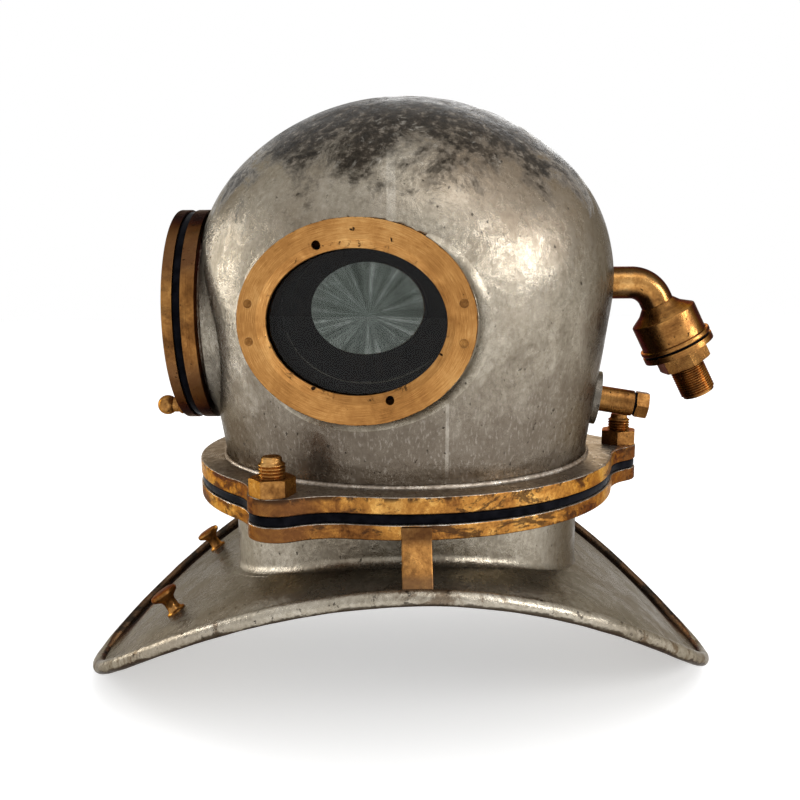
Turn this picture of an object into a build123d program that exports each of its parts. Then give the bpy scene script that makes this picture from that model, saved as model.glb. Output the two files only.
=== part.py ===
from build123d import *
import os
from math import atan2, cos, degrees, radians, sin, sqrt

# Three-bolt diving helmet of tinned copper with brass flanges, windows and fittings.
# Millimetres, +Z up. The front faces -Y and the wearer's left is +X.
# Z = 0 is the surface that the corselet stands on, X = Y = 0 is the axis of the neck.

# Corselet: a saddle of copper sheet, arched from front to back, edged with a round bead
shoulder_half_width = 178.0
front_reach = 234.0
rear_reach = 224.0
arch_crest_y = 4.0
arch_drop = 109.3
arch_power_share = 1.98
arch_shares = (0.25, 0.5, 0.75, 1.04)
sheet = 2.0
sheet_rise = 0.75
bead_d = 9.5
stand_flat = 0.3

# Neck tube and the clamped joint between corselet and bonnet
neck_inside_foot = 5.9
neck_wall = 2.5
neck_rise = 23.0
corselet_flange_t = 9.3
neck_gasket_t = 6.3
bonnet_flange_t = 10.4
flange_width = 18.7
gasket_inset = 0.8
bolt_count = 3
bolt_beyond_foot = 29.3
bolt_start_angle = 90
lug_reach = 12.5
lug_half_width = 18.0
lug_root_half_width = 36.0
lug_corner = 6.0
lug_blend = 26.0

# Studs and nuts, M16 coarse
stud_d = 16.0
stud_pitch = 2.0
stud_thread_depth = 1.1
stud_thread_count = 9
stud_above_flange = 22.8
stud_tip_d = 12.2
stud_tip_chamfer = 1.0
stud_hole_clearance = 0.6
nut_across_flats = 24.0
nut_height = 10.5
nut_chamfer = 1.2
nut_running_clearance = 0.05

# Bonnet: elliptical crown over a barrel that narrows to the flange
bonnet_radius = 150.0
crown_flattening = 21.6
crown_side_inset = 37.0
widest_above_flange = 122.9
foot_pinch = 16.5
shell_wall = 2.0
bonnet_seam_angle = 50.0
junction_bead_h = 2.5
junction_bead_w = 2.3
barrel_slope = 8.6
barrel_curve_r = 110.0

# Faceplate at the front, screwed into a seat ring on a collar
face_above_flange = 100.1
face_beyond_dome = 10.3
face_ring_t = 7.0
face_gasket_t = 5.2
seat_ring_t = 9.3
seat_gap = 2.0
face_radius = 75.8
face_gasket_inset = 1.2
face_collar_radius = 72.0
face_collar_bore = 64.0
face_collar_waist = 69.0
face_collar_depth = 18.0
spigot_radius = 60.0
spigot_length = 14.0
face_pitch = 4.0
face_thread_depth = 1.2
spigot_thread_count = 3
seat_thread_count = 2
spigot_clearance = 0.06
face_opening = 50.0
face_lip_t = 3.0
face_glass_radius = 55.9
face_glass_t = 10.0
glass_clearance = 0.3
face_seal_t = 1.5
face_seal_bite = 5.0
face_retainer_t = 4.5
face_retainer_w = 7.0
knob_inset = 6.5
knob_angle = 24.0
knob_length = 18.5
knob_bulb_r = 7.0
knob_waist_r = 5.2
knob_foot_r = 6.5
knob_foot_t = 1.6

# Side windows: an oval frame through the shell, glass between two seals, and a bezel
window_above_flange = 99.7
window_forward_angle = 12.85
window_half_width = 70.8
window_half_height = 59.0
bezel_sink = 3.0
bezel_t = 5.0
bezel_land = 12.0
bezel_bevel_w = 5.0
bezel_bevel_t = 3.0
window_seal_t = 1.5
window_seal_w = 3.5
window_glass_t = 8.0
window_glass_bite = 4.5
window_collar_depth = 22.5
notch_r = 2.6
notch_angle = 111.0
bezel_screw_d = 3.4
bezel_screw_head_d = 5.2
bezel_screw_head_t = 1.4
bezel_screw_length = 10.0
bezel_screw_angles = (-12.0, 12.0, 168.0, 192.0)

# Air inlet at the rear: elbow, non-return valve and hose nipple on one sloping axis
elbow_above_flange = 121.5
elbow_tube_r = 11.9
elbow_bore_r = 8.9
elbow_bend_r = 21.0
elbow_sink = 5.0
elbow_skirt = 5.0
inlet_beyond_dome = 54.3
inlet_above_flange = 75.6
inlet_slope = 63.0
body_r = 24.0
body_top = 29.6
body_shoulder = 24.0
body_shoulder_r = 16.0
body_ring_r = 26.3
body_ring_t = 3.2
body_face = 0.9
body_bore_r = 20.5
body_chamber_r = 17.5
body_chamber = 17.0
body_chamber_top = 21.5
body_cone_top = 26.0
valve_gasket_t = 1.8
valve_gasket_inset = 1.6
valve_spigot_r = 20.2
valve_seat_rise = 2.5
nipple_ring_t = 4.3
nipple_hex_across_flats = 34.0
nipple_hex_t = 12.0
nipple_relief = 1.5
nipple_thread_r = 12.7
nipple_thread_depth = 1.1
nipple_pitch = 1.8
nipple_thread_count = 12
nipple_bore_r = 8.5
guide_t = 2.4
guide_clearance = 0.2
guide_port_r = 3.8
guide_port_circle = 12.0
guide_port_count = 6
disc_r = 12.5
disc_t = 2.5
valve_stem_r = 2.5
valve_stem_length = 13.0
stem_running_clearance = 0.06
valve_spring_r = 6.0
spring_wire = 1.0

# Telephone cable entry at the rear, below the elbow and turned a little to the wearer's left
phone_turn = 9.0
phone_beyond_foot = 10.1
phone_above_flange = 37.8
phone_slope = 8.5
phone_base_r = 19.5
phone_base_t = 4.4
phone_socket_r = 9.3
phone_socket_in = 17.5
phone_socket_out = 23.5
phone_spigot_r = 6.0
phone_spigot_length = 6.5
phone_bore_r = 3.6
phone_seal_t = 1.5
phone_seal_r = 8.2
cap_running_clearance = 0.06
cap_across_flats = 17.8
cap_length = 8.8
cap_floor = 3.8
cap_chamfer = 1.0

# Exhaust valve on the wearer's right, behind the window
exhaust_above_flange = 70.0
exhaust_back_angle = 40.0
exhaust_depth = 16.0
exhaust_web_t = 3.0
exhaust_port_length = 9.0
exhaust_chamber_length = 12.0
exhaust_body_r = 26.0
exhaust_chamber_r = 20.0
exhaust_port_r = 9.0
exhaust_vent_r = 2.2
exhaust_vent_circle = 5.9
exhaust_vent_count = 4
exhaust_disc_r = 12.0
exhaust_disc_t = 3.0
exhaust_stem_r = 2.5
button_r = 9.0
button_t = 3.0
button_reach = 8.0
exhaust_spring_r = 6.2
cover_rim_t = 2.5
cover_crown_t = 5.5
cover_crown_share = 0.8
cover_hole_r = 2.5
cover_hole_circle = 15.0
cover_hole_count = 8

# Inside the bonnet
receiver_r = 26.0
receiver_depth = 34.0
receiver_above_flange = 62.0
receiver_side_angle = 35.0
deflector_half_width = 35.0
deflector_half_height = 22.0
deflector_sheet = 2.0
deflector_depth = 20.0

# Chest studs on the front lobe and straps at the shoulders
chest_stud_x = 68.0
chest_stud_setback = 72.0
chest_stud_r = 4.4
chest_stud_height = 17.5
chest_head_r = 10.3
chest_head_t = 2.6
chest_foot_r = 7.0
chest_foot_t = 1.6
bracket_y = 2.6
bracket_w = 17.5
bracket_t = 3.0
bracket_gap = 0.1
bracket_head_h = 9.0
bracket_leg_top = 7.2
bracket_foot_gap = 0.6

# Heights that follow from the sizes above
overrun = 5.0
tip_z = bead_d / 2 - stand_flat
crest_z = tip_z + arch_drop
plate_crest_z = crest_z + sheet_rise
corselet_flange_z = plate_crest_z + neck_rise
neck_gasket_z = corselet_flange_z + corselet_flange_t
bonnet_flange_z = neck_gasket_z + neck_gasket_t
flange_top_z = bonnet_flange_z + bonnet_flange_t
widest_z = flange_top_z + widest_above_flange
foot_top_z = flange_top_z + junction_bead_h
foot_radius = bonnet_radius - foot_pinch
neck_radius = foot_radius - neck_inside_foot
flange_radius = foot_radius + flange_width
bolt_circle = foot_radius + bolt_beyond_foot
crown_rise = bonnet_radius - crown_flattening
crown_side_r = bonnet_radius - crown_side_inset
face_out = bonnet_radius + face_beyond_dome
knob_circle = face_radius - knob_inset
bezel_out = bonnet_radius - bezel_sink
window_collar_out = bezel_out - window_collar_depth
elbow_start_y = bonnet_radius - elbow_sink
inlet_y = bonnet_radius + inlet_beyond_dome
phone_out = foot_radius + phone_beyond_foot
exhaust_in = bonnet_radius - exhaust_depth
receiver_in = bonnet_radius - receiver_depth
deflector_in = bonnet_radius - deflector_depth
chest_stud_y = chest_stud_setback - front_reach
side_centre = bonnet_radius - crown_side_r
rise_beyond = crown_rise - crown_side_r
crown_top_r = (side_centre**2 + crown_rise**2 - crown_side_r**2) / (rise_beyond * 2)
crown_turn = degrees(atan2(crown_top_r - crown_rise, side_centre))
flank_tan = sin(radians(barrel_slope)) / cos(radians(barrel_slope))
flank_drop = widest_z - foot_top_z
flank_pinch = bonnet_radius - foot_radius
curves_r = (flank_drop * flank_tan - flank_pinch) / (1 / cos(radians(barrel_slope)) - 1)
foot_curve_r = curves_r - barrel_curve_r
flank_length = (flank_drop - curves_r * sin(radians(barrel_slope))) / cos(radians(barrel_slope))
neck_bore_r = neck_radius - neck_wall
stud_r = stud_d / 2
stud_hole_r = stud_r + stud_hole_clearance
reach = front_reach + rear_reach
crest_shares = (0.4, 0.6)


def arch_height(y):
    """Height of the bead's centre line at a place from front (-) to back (+)."""
    run = front_reach + arch_crest_y if y < arch_crest_y else rear_reach - arch_crest_y
    return crest_z - arch_drop * abs((y - arch_crest_y) / run) ** arch_power_share


def arch_line(below):
    """Arch of the plate from front to back, drawn a given depth below its top face."""
    front = [arch_crest_y - share * (front_reach + arch_crest_y) for share in reversed(arch_shares)]
    rear = [arch_crest_y + share * (rear_reach - arch_crest_y) for share in arch_shares]
    stations = front + [arch_crest_y] + rear
    return Spline(*[(y, arch_height(y) + sheet_rise - below) for y in stations])


def under_arch(below, mode):
    """Block that fills everything under the arch, taken from the part or shared with it."""
    with BuildSketch(Plane.YZ) as side_view:
        with BuildLine():
            arch = arch_line(below)
            front_foot = (arch @ 0).X, -reach
            rear_foot = (arch @ 1).X, -reach
            Polyline(arch @ 0, front_foot, rear_foot, arch @ 1)
        make_face()
    extrude(side_view.sketch, amount=reach, both=True, mode=mode)


def plan_outline(inset):
    """Two half ellipses, front and rear, around the plate in plan."""
    half_width = shoulder_half_width - inset
    front_radius = front_reach + arch_crest_y - inset
    rear_radius = rear_reach - arch_crest_y - inset
    EllipticalCenterArc((0, arch_crest_y), half_width, rear_radius, arc_size=180)
    EllipticalCenterArc((0, arch_crest_y), half_width, front_radius, start_angle=180, arc_size=180)


def turn(section, *outline, mode=Mode.ADD):
    """Solid of revolution: points (along, radius) turned about the section plane's x axis."""
    with BuildSketch(section) as profile:
        with BuildLine():
            Polyline(*outline, close=True)
        make_face()
    revolve(profile.sketch, axis=Axis(section.origin, section.x_dir), mode=mode)


def thread(start, count, pitch, root, crest):
    """Outline of a thread as ridges with narrow flat crests, from root to root."""
    ridges = []
    for ridge in range(count):
        ridges.append((start + ridge * pitch, root))
        ridges += [(start + (ridge + share) * pitch, crest) for share in crest_shares]
    return ridges + [(start + count * pitch, root)]


def hexagon(section, start, height, across_flats, corner):
    """Hexagonal prism along the section plane's x axis with its end corners turned off."""
    base = Plane(origin=section.from_local_coords((start, 0, 0)), x_dir=section.z_dir, z_dir=section.x_dir)
    with BuildSketch(base) as end_view:
        RegularPolygon(across_flats / 2, 6, major_radius=False)
    extrude(end_view.sketch, amount=height)
    corner_r = across_flats / 2 / cos(radians(30))
    outline = [(start, 0), (start, corner_r - corner), (start + corner / 2, corner_r)]
    outline += [(start + height - corner / 2, corner_r), (start + height, corner_r - corner)]
    outline += [(start + height, 0)]
    turn(section, *outline, mode=Mode.INTERSECT)


os.makedirs("parts", exist_ok=True)

# The corselet plate with its bead

bead_stations = 7
bead_sample_turn = 0.5


def bead_section(angle, lobe):
    """Plane square to the bead's centre line, at an angle from the shoulder to the lobe's tip."""
    x = shoulder_half_width * cos(radians(angle))
    y = arch_crest_y + lobe * sin(radians(angle))
    ahead = angle + bead_sample_turn
    behind = angle - bead_sample_turn
    y_ahead = arch_crest_y + lobe * sin(radians(ahead))
    y_behind = arch_crest_y + lobe * sin(radians(behind))
    along_x = shoulder_half_width * (cos(radians(ahead)) - cos(radians(behind)))
    along_y = y_ahead - y_behind
    along_z = arch_height(y_ahead) - arch_height(y_behind)
    if angle == 0 or angle == 90:
        along_z = 0
    return Plane(origin=(x, y, arch_height(y)), z_dir=(along_x, along_y, along_z))


with BuildPart() as rim_bead:
    for lobe in (-(front_reach + arch_crest_y), rear_reach - arch_crest_y):
        for station in range(bead_stations):
            with BuildSketch(bead_section(90 * station / (bead_stations - 1), lobe)):
                Circle(bead_d / 2)
        loft()
    mirror(about=Plane.YZ)
    with BuildSketch(Plane.XY):
        Rectangle(reach * 2, reach * 2)
    extrude(amount=-bead_d, mode=Mode.SUBTRACT)
rim_bead.part.label = "rim_bead"
export_step(rim_bead.part, "parts/rim_bead.step")

with BuildPart() as corselet_plate:
    with BuildSketch(Plane.XY):
        with BuildLine():
            plan_outline(0)
        make_face()
    extrude(amount=plate_crest_z + overrun)
    under_arch(0, Mode.INTERSECT)
    under_arch(sheet, Mode.SUBTRACT)
    with BuildSketch(Plane.XY):
        Circle(neck_bore_r)
    extrude(amount=plate_crest_z + overrun, mode=Mode.SUBTRACT)
    add(rim_bead.part, mode=Mode.SUBTRACT)
corselet_plate.part.label = "corselet_plate"
export_step(corselet_plate.part, "parts/corselet_plate.step")

# Neck tube: its foot follows the arch of the plate, its top is flush with the flange

with BuildPart() as corselet_neck:
    with BuildSketch(Plane.XY):
        Circle(neck_radius)
        Circle(neck_bore_r, mode=Mode.SUBTRACT)
    extrude(amount=neck_gasket_z)
    under_arch(0, Mode.SUBTRACT)
corselet_neck.part.label = "corselet_neck"
export_step(corselet_neck.part, "parts/corselet_neck.step")

# The clamped joint: two brass flanges with three lugs, and a gasket of the same outline


def flange_outline(inset):
    """Round flange with a lug at each bolt, blended in by concave curves."""
    lug_end = bolt_circle + lug_reach - inset
    lug_half = lug_half_width - inset
    root_half = lug_root_half_width - inset
    root = sqrt(flange_radius**2 - lug_root_half_width**2) - inset
    flank = [(lug_end, lug_half), (root, root_half), (0, root_half / 2)]
    Circle(flange_radius - inset)
    with PolarLocations(0, bolt_count, start_angle=bolt_start_angle):
        Polygon(*flank, *[(x, -y) for x, y in reversed(flank)], align=None)


def flange_plate(bottom, thickness, inset, bore_r, bolt_hole_r):
    """Flange or gasket between two heights, with its bore and bolt holes."""
    with BuildSketch(Plane.XY.offset(bottom)) as plan:
        flange_outline(inset)
        fillet(plan.vertices().group_by(SortBy.DISTANCE)[-1], lug_corner)
        fillet(plan.vertices().group_by(SortBy.DISTANCE)[0], lug_blend)
        Circle(bore_r, mode=Mode.SUBTRACT)
        with PolarLocations(bolt_circle, bolt_count, start_angle=bolt_start_angle):
            Circle(bolt_hole_r, mode=Mode.SUBTRACT)
    extrude(plan.sketch, amount=thickness)


with BuildPart() as corselet_flange:
    flange_plate(corselet_flange_z, corselet_flange_t, 0, neck_radius, stud_r)
corselet_flange.part.label = "corselet_flange"
export_step(corselet_flange.part, "parts/corselet_flange.step")

with BuildPart() as neck_gasket:
    flange_plate(neck_gasket_z, neck_gasket_t, gasket_inset, neck_bore_r, stud_hole_r)
neck_gasket.part.label = "neck_gasket"
export_step(neck_gasket.part, "parts/neck_gasket.step")

with BuildPart() as bonnet_flange:
    flange_plate(bonnet_flange_z, bonnet_flange_t, 0, foot_radius, stud_hole_r)
    with BuildSketch(Plane.XY.offset(flange_top_z)):
        Circle(foot_radius + junction_bead_w)
        Circle(foot_radius, mode=Mode.SUBTRACT)
    extrude(amount=junction_bead_h)
    crown_edges = bonnet_flange.edges().group_by(Axis.Z)[-1]
    chamfer(crown_edges.sort_by(SortBy.LENGTH)[-1], junction_bead_w / 2)
bonnet_flange.part.label = "bonnet_flange"
export_step(bonnet_flange.part, "parts/bonnet_flange.step")

# Studs screwed into the corselet flange, each with a turned-down tip, and the nuts on them

bolt_places = PolarLocations(bolt_circle, bolt_count, start_angle=bolt_start_angle).locations


def bolt_section(place):
    """Plane through a bolt's axis, with its x axis up and zero at the bonnet flange's top."""
    origin = place.position + Vector(0, 0, flange_top_z)
    return Plane(origin=origin, x_dir=(0, 0, 1), z_dir=(1, 0, 0))


with BuildPart() as bonnet_studs:
    stud_foot = corselet_flange_z - flange_top_z
    tip_r = stud_tip_d / 2
    stud_root = stud_r - stud_thread_depth
    stud_thread = thread(stud_tip_chamfer, stud_thread_count, stud_pitch, stud_root, stud_r)
    for place in bolt_places:
        turn(
            bolt_section(place),
            (stud_foot, 0),
            (stud_foot, stud_r),
            (0, stud_r),
            *stud_thread,
            (stud_above_flange - stud_tip_chamfer - stud_pitch, tip_r),
            (stud_above_flange - stud_tip_chamfer, tip_r),
            (stud_above_flange, tip_r - stud_tip_chamfer),
            (stud_above_flange, 0),
        )
bonnet_studs.part.label = "bonnet_studs"
export_step(bonnet_studs.part, "parts/bonnet_studs.step")

for place, nut_name in zip(bolt_places, ("nut_rear", "nut_front_right", "nut_front_left")):
    with BuildPart() as nut:
        hexagon(bolt_section(place), 0, nut_height, nut_across_flats, nut_chamfer)
        with Locations(place.position + Vector(0, 0, flange_top_z + nut_height)):
            Hole(stud_r + nut_running_clearance, nut_height)
    nut.part.label = nut_name
    export_step(nut.part, f"parts/{nut_name}.step")

# Bonnet: an elliptical crown over a barrel, one even wall, foot soldered into its flange


def bonnet_outline(inset):
    """Half outline of the bonnet, drawn a given depth inside its outer face."""
    widest = bonnet_radius - inset
    side = JernArc((widest, widest_z), (0, 1), crown_side_r - inset, crown_turn)
    crown = JernArc(side @ 1, side % 1, crown_top_r - inset, 90 - crown_turn)
    shoulder = JernArc((widest, widest_z), (0, -1), barrel_curve_r - inset, -barrel_slope)
    flank = PolarLine(shoulder @ 1, flank_length, direction=shoulder % 1)
    foot = JernArc(flank @ 1, flank % 1, foot_curve_r + inset, barrel_slope)
    Polyline(foot @ 1, ((foot @ 1).X, bonnet_flange_z), (0, bonnet_flange_z), crown @ 1)


def bonnet_form(inset, mode):
    """The bonnet's full round form, added to, taken from or shared with the part."""
    seam = radians(bonnet_seam_angle)
    outward = Vector(cos(seam), sin(seam), 0)
    half_section = Plane(origin=(0, 0, 0), x_dir=outward, z_dir=(sin(seam), -cos(seam), 0))
    with BuildSketch(half_section) as profile:
        with BuildLine():
            bonnet_outline(inset)
        make_face()
    revolve(profile.sketch, axis=Axis.Z, mode=mode)


def window_plane(side, out):
    """Plane square to a side window's axis, a given distance from the neck's axis."""
    turned = radians(window_forward_angle)
    axis = Vector(side * cos(turned), -sin(turned), 0)
    origin = axis * out + Vector(0, 0, flange_top_z + window_above_flange)
    return Plane(origin=origin, x_dir=(side * sin(turned), cos(turned), 0), z_dir=axis)


face_section = Plane(origin=(0, 0, flange_top_z + face_above_flange), x_dir=(0, -1, 0), z_dir=(-1, 0, 0))
elbow_z = flange_top_z + elbow_above_flange
inlet_axis = Vector(0, cos(radians(inlet_slope)), -sin(radians(inlet_slope)))
inlet_section = Plane(
    origin=(0, inlet_y, flange_top_z + inlet_above_flange), x_dir=inlet_axis, z_dir=(1, 0, 0)
)
phone_level = Vector(sin(radians(phone_turn)), cos(radians(phone_turn)), 0)
phone_section = Plane(
    origin=phone_level * phone_out + Vector(0, 0, flange_top_z + phone_above_flange),
    x_dir=phone_level * cos(radians(phone_slope)) - Vector(0, 0, sin(radians(phone_slope))),
    z_dir=(cos(radians(phone_turn)), -sin(radians(phone_turn)), 0),
)
exhaust_turn = radians(exhaust_back_angle)
exhaust_section = Plane(
    origin=(0, 0, flange_top_z + exhaust_above_flange),
    x_dir=(-cos(exhaust_turn), sin(exhaust_turn), 0),
    z_dir=(sin(exhaust_turn), cos(exhaust_turn), 0),
)


def across(section, along):
    """Plane square to a section plane's x axis, at a distance along it."""
    return Plane(origin=section.from_local_coords((along, 0, 0)), z_dir=section.x_dir)


with BuildPart() as bonnet_shell:
    bonnet_form(0, Mode.ADD)
    bonnet_form(shell_wall, Mode.SUBTRACT)
    with BuildSketch(across(face_section, face_collar_radius)):
        Circle(face_collar_radius)
    extrude(amount=bonnet_radius, mode=Mode.SUBTRACT)
    for side in (1, -1):
        with BuildSketch(window_plane(side, window_half_width)):
            Ellipse(window_half_width, window_half_height)
        extrude(amount=bonnet_radius, mode=Mode.SUBTRACT)
    with BuildSketch(Plane.XZ.offset(-bonnet_radius / 2)):
        with Locations((0, elbow_z)):
            Circle(elbow_tube_r)
    extrude(amount=-bonnet_radius, mode=Mode.SUBTRACT)
    with BuildSketch(across(phone_section, -bonnet_radius / 2)):
        Circle(phone_socket_r)
    extrude(amount=bonnet_radius, mode=Mode.SUBTRACT)
    with BuildSketch(across(exhaust_section, bonnet_radius / 2)):
        Circle(exhaust_body_r)
    extrude(amount=bonnet_radius, mode=Mode.SUBTRACT)
bonnet_shell.part.label = "bonnet_shell"
export_step(bonnet_shell.part, "parts/bonnet_shell.step")

# Front window: collar in the dome, threaded seat ring, gasket, and the faceplate that screws in

face_back = face_out - face_ring_t
gasket_back = face_back - face_gasket_t
seat_back = gasket_back - seat_ring_t
collar_front = seat_back - seat_gap

with BuildPart() as front_collar:
    turn(
        face_section,
        (collar_front - face_collar_depth, face_collar_bore),
        (collar_front - face_collar_depth, face_collar_radius),
        (collar_front, face_collar_radius),
        (collar_front, face_collar_waist),
        (seat_back, face_collar_waist),
        (seat_back, face_collar_bore),
    )
front_collar.part.label = "front_collar"
export_step(front_collar.part, "parts/front_collar.step")

seat_crest_r = spigot_radius + spigot_clearance
seat_root_r = seat_crest_r + face_thread_depth
with BuildPart() as front_seat_ring:
    turn(
        face_section,
        (gasket_back, seat_root_r),
        (gasket_back, face_radius),
        (seat_back, face_radius),
        (seat_back, seat_root_r),
        *thread(seat_back, seat_thread_count, face_pitch, seat_root_r, seat_crest_r)[1:],
    )
front_seat_ring.part.label = "front_seat_ring"
export_step(front_seat_ring.part, "parts/front_seat_ring.step")

with BuildPart() as faceplate_gasket:
    turn(
        face_section,
        (gasket_back, seat_root_r),
        (gasket_back, face_radius - face_gasket_inset),
        (face_back, face_radius - face_gasket_inset),
        (face_back, seat_root_r),
    )
faceplate_gasket.part.label = "faceplate_gasket"
export_step(faceplate_gasket.part, "parts/faceplate_gasket.step")

rebate_r = face_glass_radius + glass_clearance
lip_back = face_out - face_lip_t
seal_back = lip_back - face_seal_t
face_glass_back = seal_back - face_glass_t
spigot_back = face_back - spigot_length
spigot_root = spigot_radius - face_thread_depth
with BuildPart() as faceplate_ring:
    turn(
        face_section,
        (face_out, face_opening),
        (face_out, face_radius),
        (face_back, face_radius),
        (face_back, spigot_root),
        *reversed(thread(spigot_back, spigot_thread_count, face_pitch, spigot_root, spigot_radius)),
        (spigot_back, rebate_r),
        (lip_back, rebate_r),
        (lip_back, face_opening),
    )
faceplate_ring.part.label = "faceplate_ring"
export_step(faceplate_ring.part, "parts/faceplate_ring.step")

with BuildPart() as faceplate_glass_seal:
    turn(
        face_section,
        (seal_back, face_glass_radius - face_seal_bite),
        (seal_back, face_glass_radius),
        (lip_back, face_glass_radius),
        (lip_back, face_glass_radius - face_seal_bite),
    )
faceplate_glass_seal.part.label = "faceplate_glass_seal"
export_step(faceplate_glass_seal.part, "parts/faceplate_glass_seal.step")

with BuildPart() as faceplate_glass:
    with BuildSketch(across(face_section, face_glass_back)):
        Circle(face_glass_radius)
    extrude(amount=face_glass_t)
faceplate_glass.part.label = "faceplate_glass"
export_step(faceplate_glass.part, "parts/faceplate_glass.step")

with BuildPart() as faceplate_retainer:
    turn(
        face_section,
        (face_glass_back - face_retainer_t, rebate_r - face_retainer_w),
        (face_glass_back - face_retainer_t, rebate_r),
        (face_glass_back, rebate_r),
        (face_glass_back, rebate_r - face_retainer_w),
    )
faceplate_retainer.part.label = "faceplate_retainer"
export_step(faceplate_retainer.part, "parts/faceplate_retainer.step")

bulb_centre = knob_length - knob_bulb_r
bulb_back = bulb_centre - sqrt(knob_bulb_r**2 - knob_waist_r**2)
with BuildPart() as faceplate_knobs:
    for knob_turn in (-90 - knob_angle, 90 - knob_angle):
        knob_rise = knob_circle * sin(radians(knob_turn))
        knob_spot = (face_out, knob_rise, knob_circle * cos(radians(knob_turn)))
        knob_section = Plane(
            origin=face_section.from_local_coords(knob_spot), x_dir=(0, -1, 0), z_dir=(-1, 0, 0)
        )
        with BuildSketch(knob_section):
            with BuildLine():
                waist = bulb_back, knob_waist_r
                Polyline(waist, (knob_foot_t * 2, knob_waist_r), (knob_foot_t, knob_foot_r))
                Line((knob_foot_t, knob_foot_r), (0, knob_foot_r))
                Polyline((0, knob_foot_r), (0, 0), (knob_length, 0))
                ThreePointArc((knob_length, 0), (bulb_centre, knob_bulb_r), waist)
            make_face()
        revolve(axis=Axis(knob_section.origin, knob_section.x_dir))
faceplate_knobs.part.label = "faceplate_knobs"
export_step(faceplate_knobs.part, "parts/faceplate_knobs.step")

# Side windows, made alike on the left and the right

bezel_back = bezel_out - bezel_t
window_glass_front = bezel_back - window_seal_t
window_glass_back = window_glass_front - window_glass_t
window_lip = window_glass_back - window_seal_t
opening_inset = bezel_land + bezel_bevel_w
glass_inset = opening_inset - window_glass_bite
rebate_inset = glass_inset - glass_clearance


def window_oval(inset, mode=Mode.ADD):
    """Oval of the window frame, drawn a given width inside its outer edge."""
    Ellipse(window_half_width - inset, window_half_height - inset, mode=mode)


def screw_spots():
    """Places of the bezel screws on the middle of its flat land."""
    wide = window_half_width - bezel_land / 2
    high = window_half_height - bezel_land / 2
    return [(wide * cos(radians(spot)), high * sin(radians(spot))) for spot in bezel_screw_angles]


for side_name, side in (("left", 1), ("right", -1)):
    with BuildPart() as window_collar:
        with BuildSketch(window_plane(side, window_collar_out)):
            window_oval(0)
            window_oval(opening_inset, Mode.SUBTRACT)
        extrude(amount=bezel_back - window_collar_out)
        with BuildSketch(window_plane(side, window_lip)):
            window_oval(rebate_inset)
        extrude(amount=bezel_back - window_lip, mode=Mode.SUBTRACT)
        with BuildSketch(window_plane(side, bezel_back)):
            with Locations(*screw_spots()):
                Circle(bezel_screw_d / 2)
        extrude(amount=bezel_t - bezel_screw_length, mode=Mode.SUBTRACT)
    window_collar.part.label = f"{side_name}_window_collar"
    export_step(window_collar.part, f"parts/{side_name}_window_collar.step")

    with BuildPart() as window_glass:
        with BuildSketch(window_plane(side, window_glass_back)):
            window_oval(glass_inset)
        extrude(amount=window_glass_t)
    window_glass.part.label = f"{side_name}_window_glass"
    export_step(window_glass.part, f"parts/{side_name}_window_glass.step")

    with BuildPart() as window_seals:
        for seal_out in (window_lip, window_glass_front):
            with BuildSketch(window_plane(side, seal_out)):
                window_oval(glass_inset)
                window_oval(glass_inset + window_seal_w, Mode.SUBTRACT)
            extrude(amount=window_seal_t)
    window_seals.part.label = f"{side_name}_window_seals"
    export_step(window_seals.part, f"parts/{side_name}_window_seals.step")

    with BuildPart() as window_bezel:
        with BuildSketch(window_plane(side, bezel_back)):
            window_oval(0)
        extrude(amount=bezel_t)
        with BuildSketch(window_plane(side, bezel_out)):
            window_oval(bezel_land)
        with BuildSketch(window_plane(side, bezel_out - bezel_bevel_t)):
            window_oval(opening_inset)
        loft(mode=Mode.SUBTRACT)
        with BuildSketch(window_plane(side, bezel_back)):
            window_oval(opening_inset)
        extrude(amount=bezel_t, mode=Mode.SUBTRACT)
        with BuildSketch(window_plane(side, bezel_out)):
            for spot in (notch_angle, notch_angle + 180):
                wide = (window_half_width - bezel_land) * cos(radians(spot))
                high = (window_half_height - bezel_land) * sin(radians(spot))
                with Locations((wide, high)):
                    Circle(notch_r)
        extrude(amount=-bezel_t, mode=Mode.SUBTRACT)
        with BuildSketch(window_plane(side, bezel_out)):
            with Locations(*screw_spots()):
                Circle(bezel_screw_d / 2)
        extrude(amount=-bezel_t, mode=Mode.SUBTRACT)
        with BuildSketch(window_plane(side, bezel_out)):
            with Locations(*screw_spots()):
                Circle(bezel_screw_head_d / 2)
        extrude(amount=-bezel_screw_head_t, mode=Mode.SUBTRACT)
    window_bezel.part.label = f"{side_name}_window_bezel"
    export_step(window_bezel.part, f"parts/{side_name}_window_bezel.step")

    with BuildPart() as window_screws:
        with BuildSketch(window_plane(side, bezel_out)):
            with Locations(*screw_spots()):
                Circle(bezel_screw_d / 2)
        extrude(amount=-bezel_screw_length)
        with BuildSketch(window_plane(side, bezel_out)):
            with Locations(*screw_spots()):
                Circle(bezel_screw_head_d / 2)
        extrude(amount=-bezel_screw_head_t)
    window_screws.part.label = f"{side_name}_window_screws"
    export_step(window_screws.part, f"parts/{side_name}_window_screws.step")

# Air inlet: elbow out of the dome, valve body, gasket, and the nipple for the hose

corner_along = (elbow_above_flange - inlet_above_flange) / sin(radians(inlet_slope))
corner_y = inlet_y - corner_along * cos(radians(inlet_slope))
elbow_end = inlet_section.from_local_coords((-body_top, 0, 0))

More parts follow.
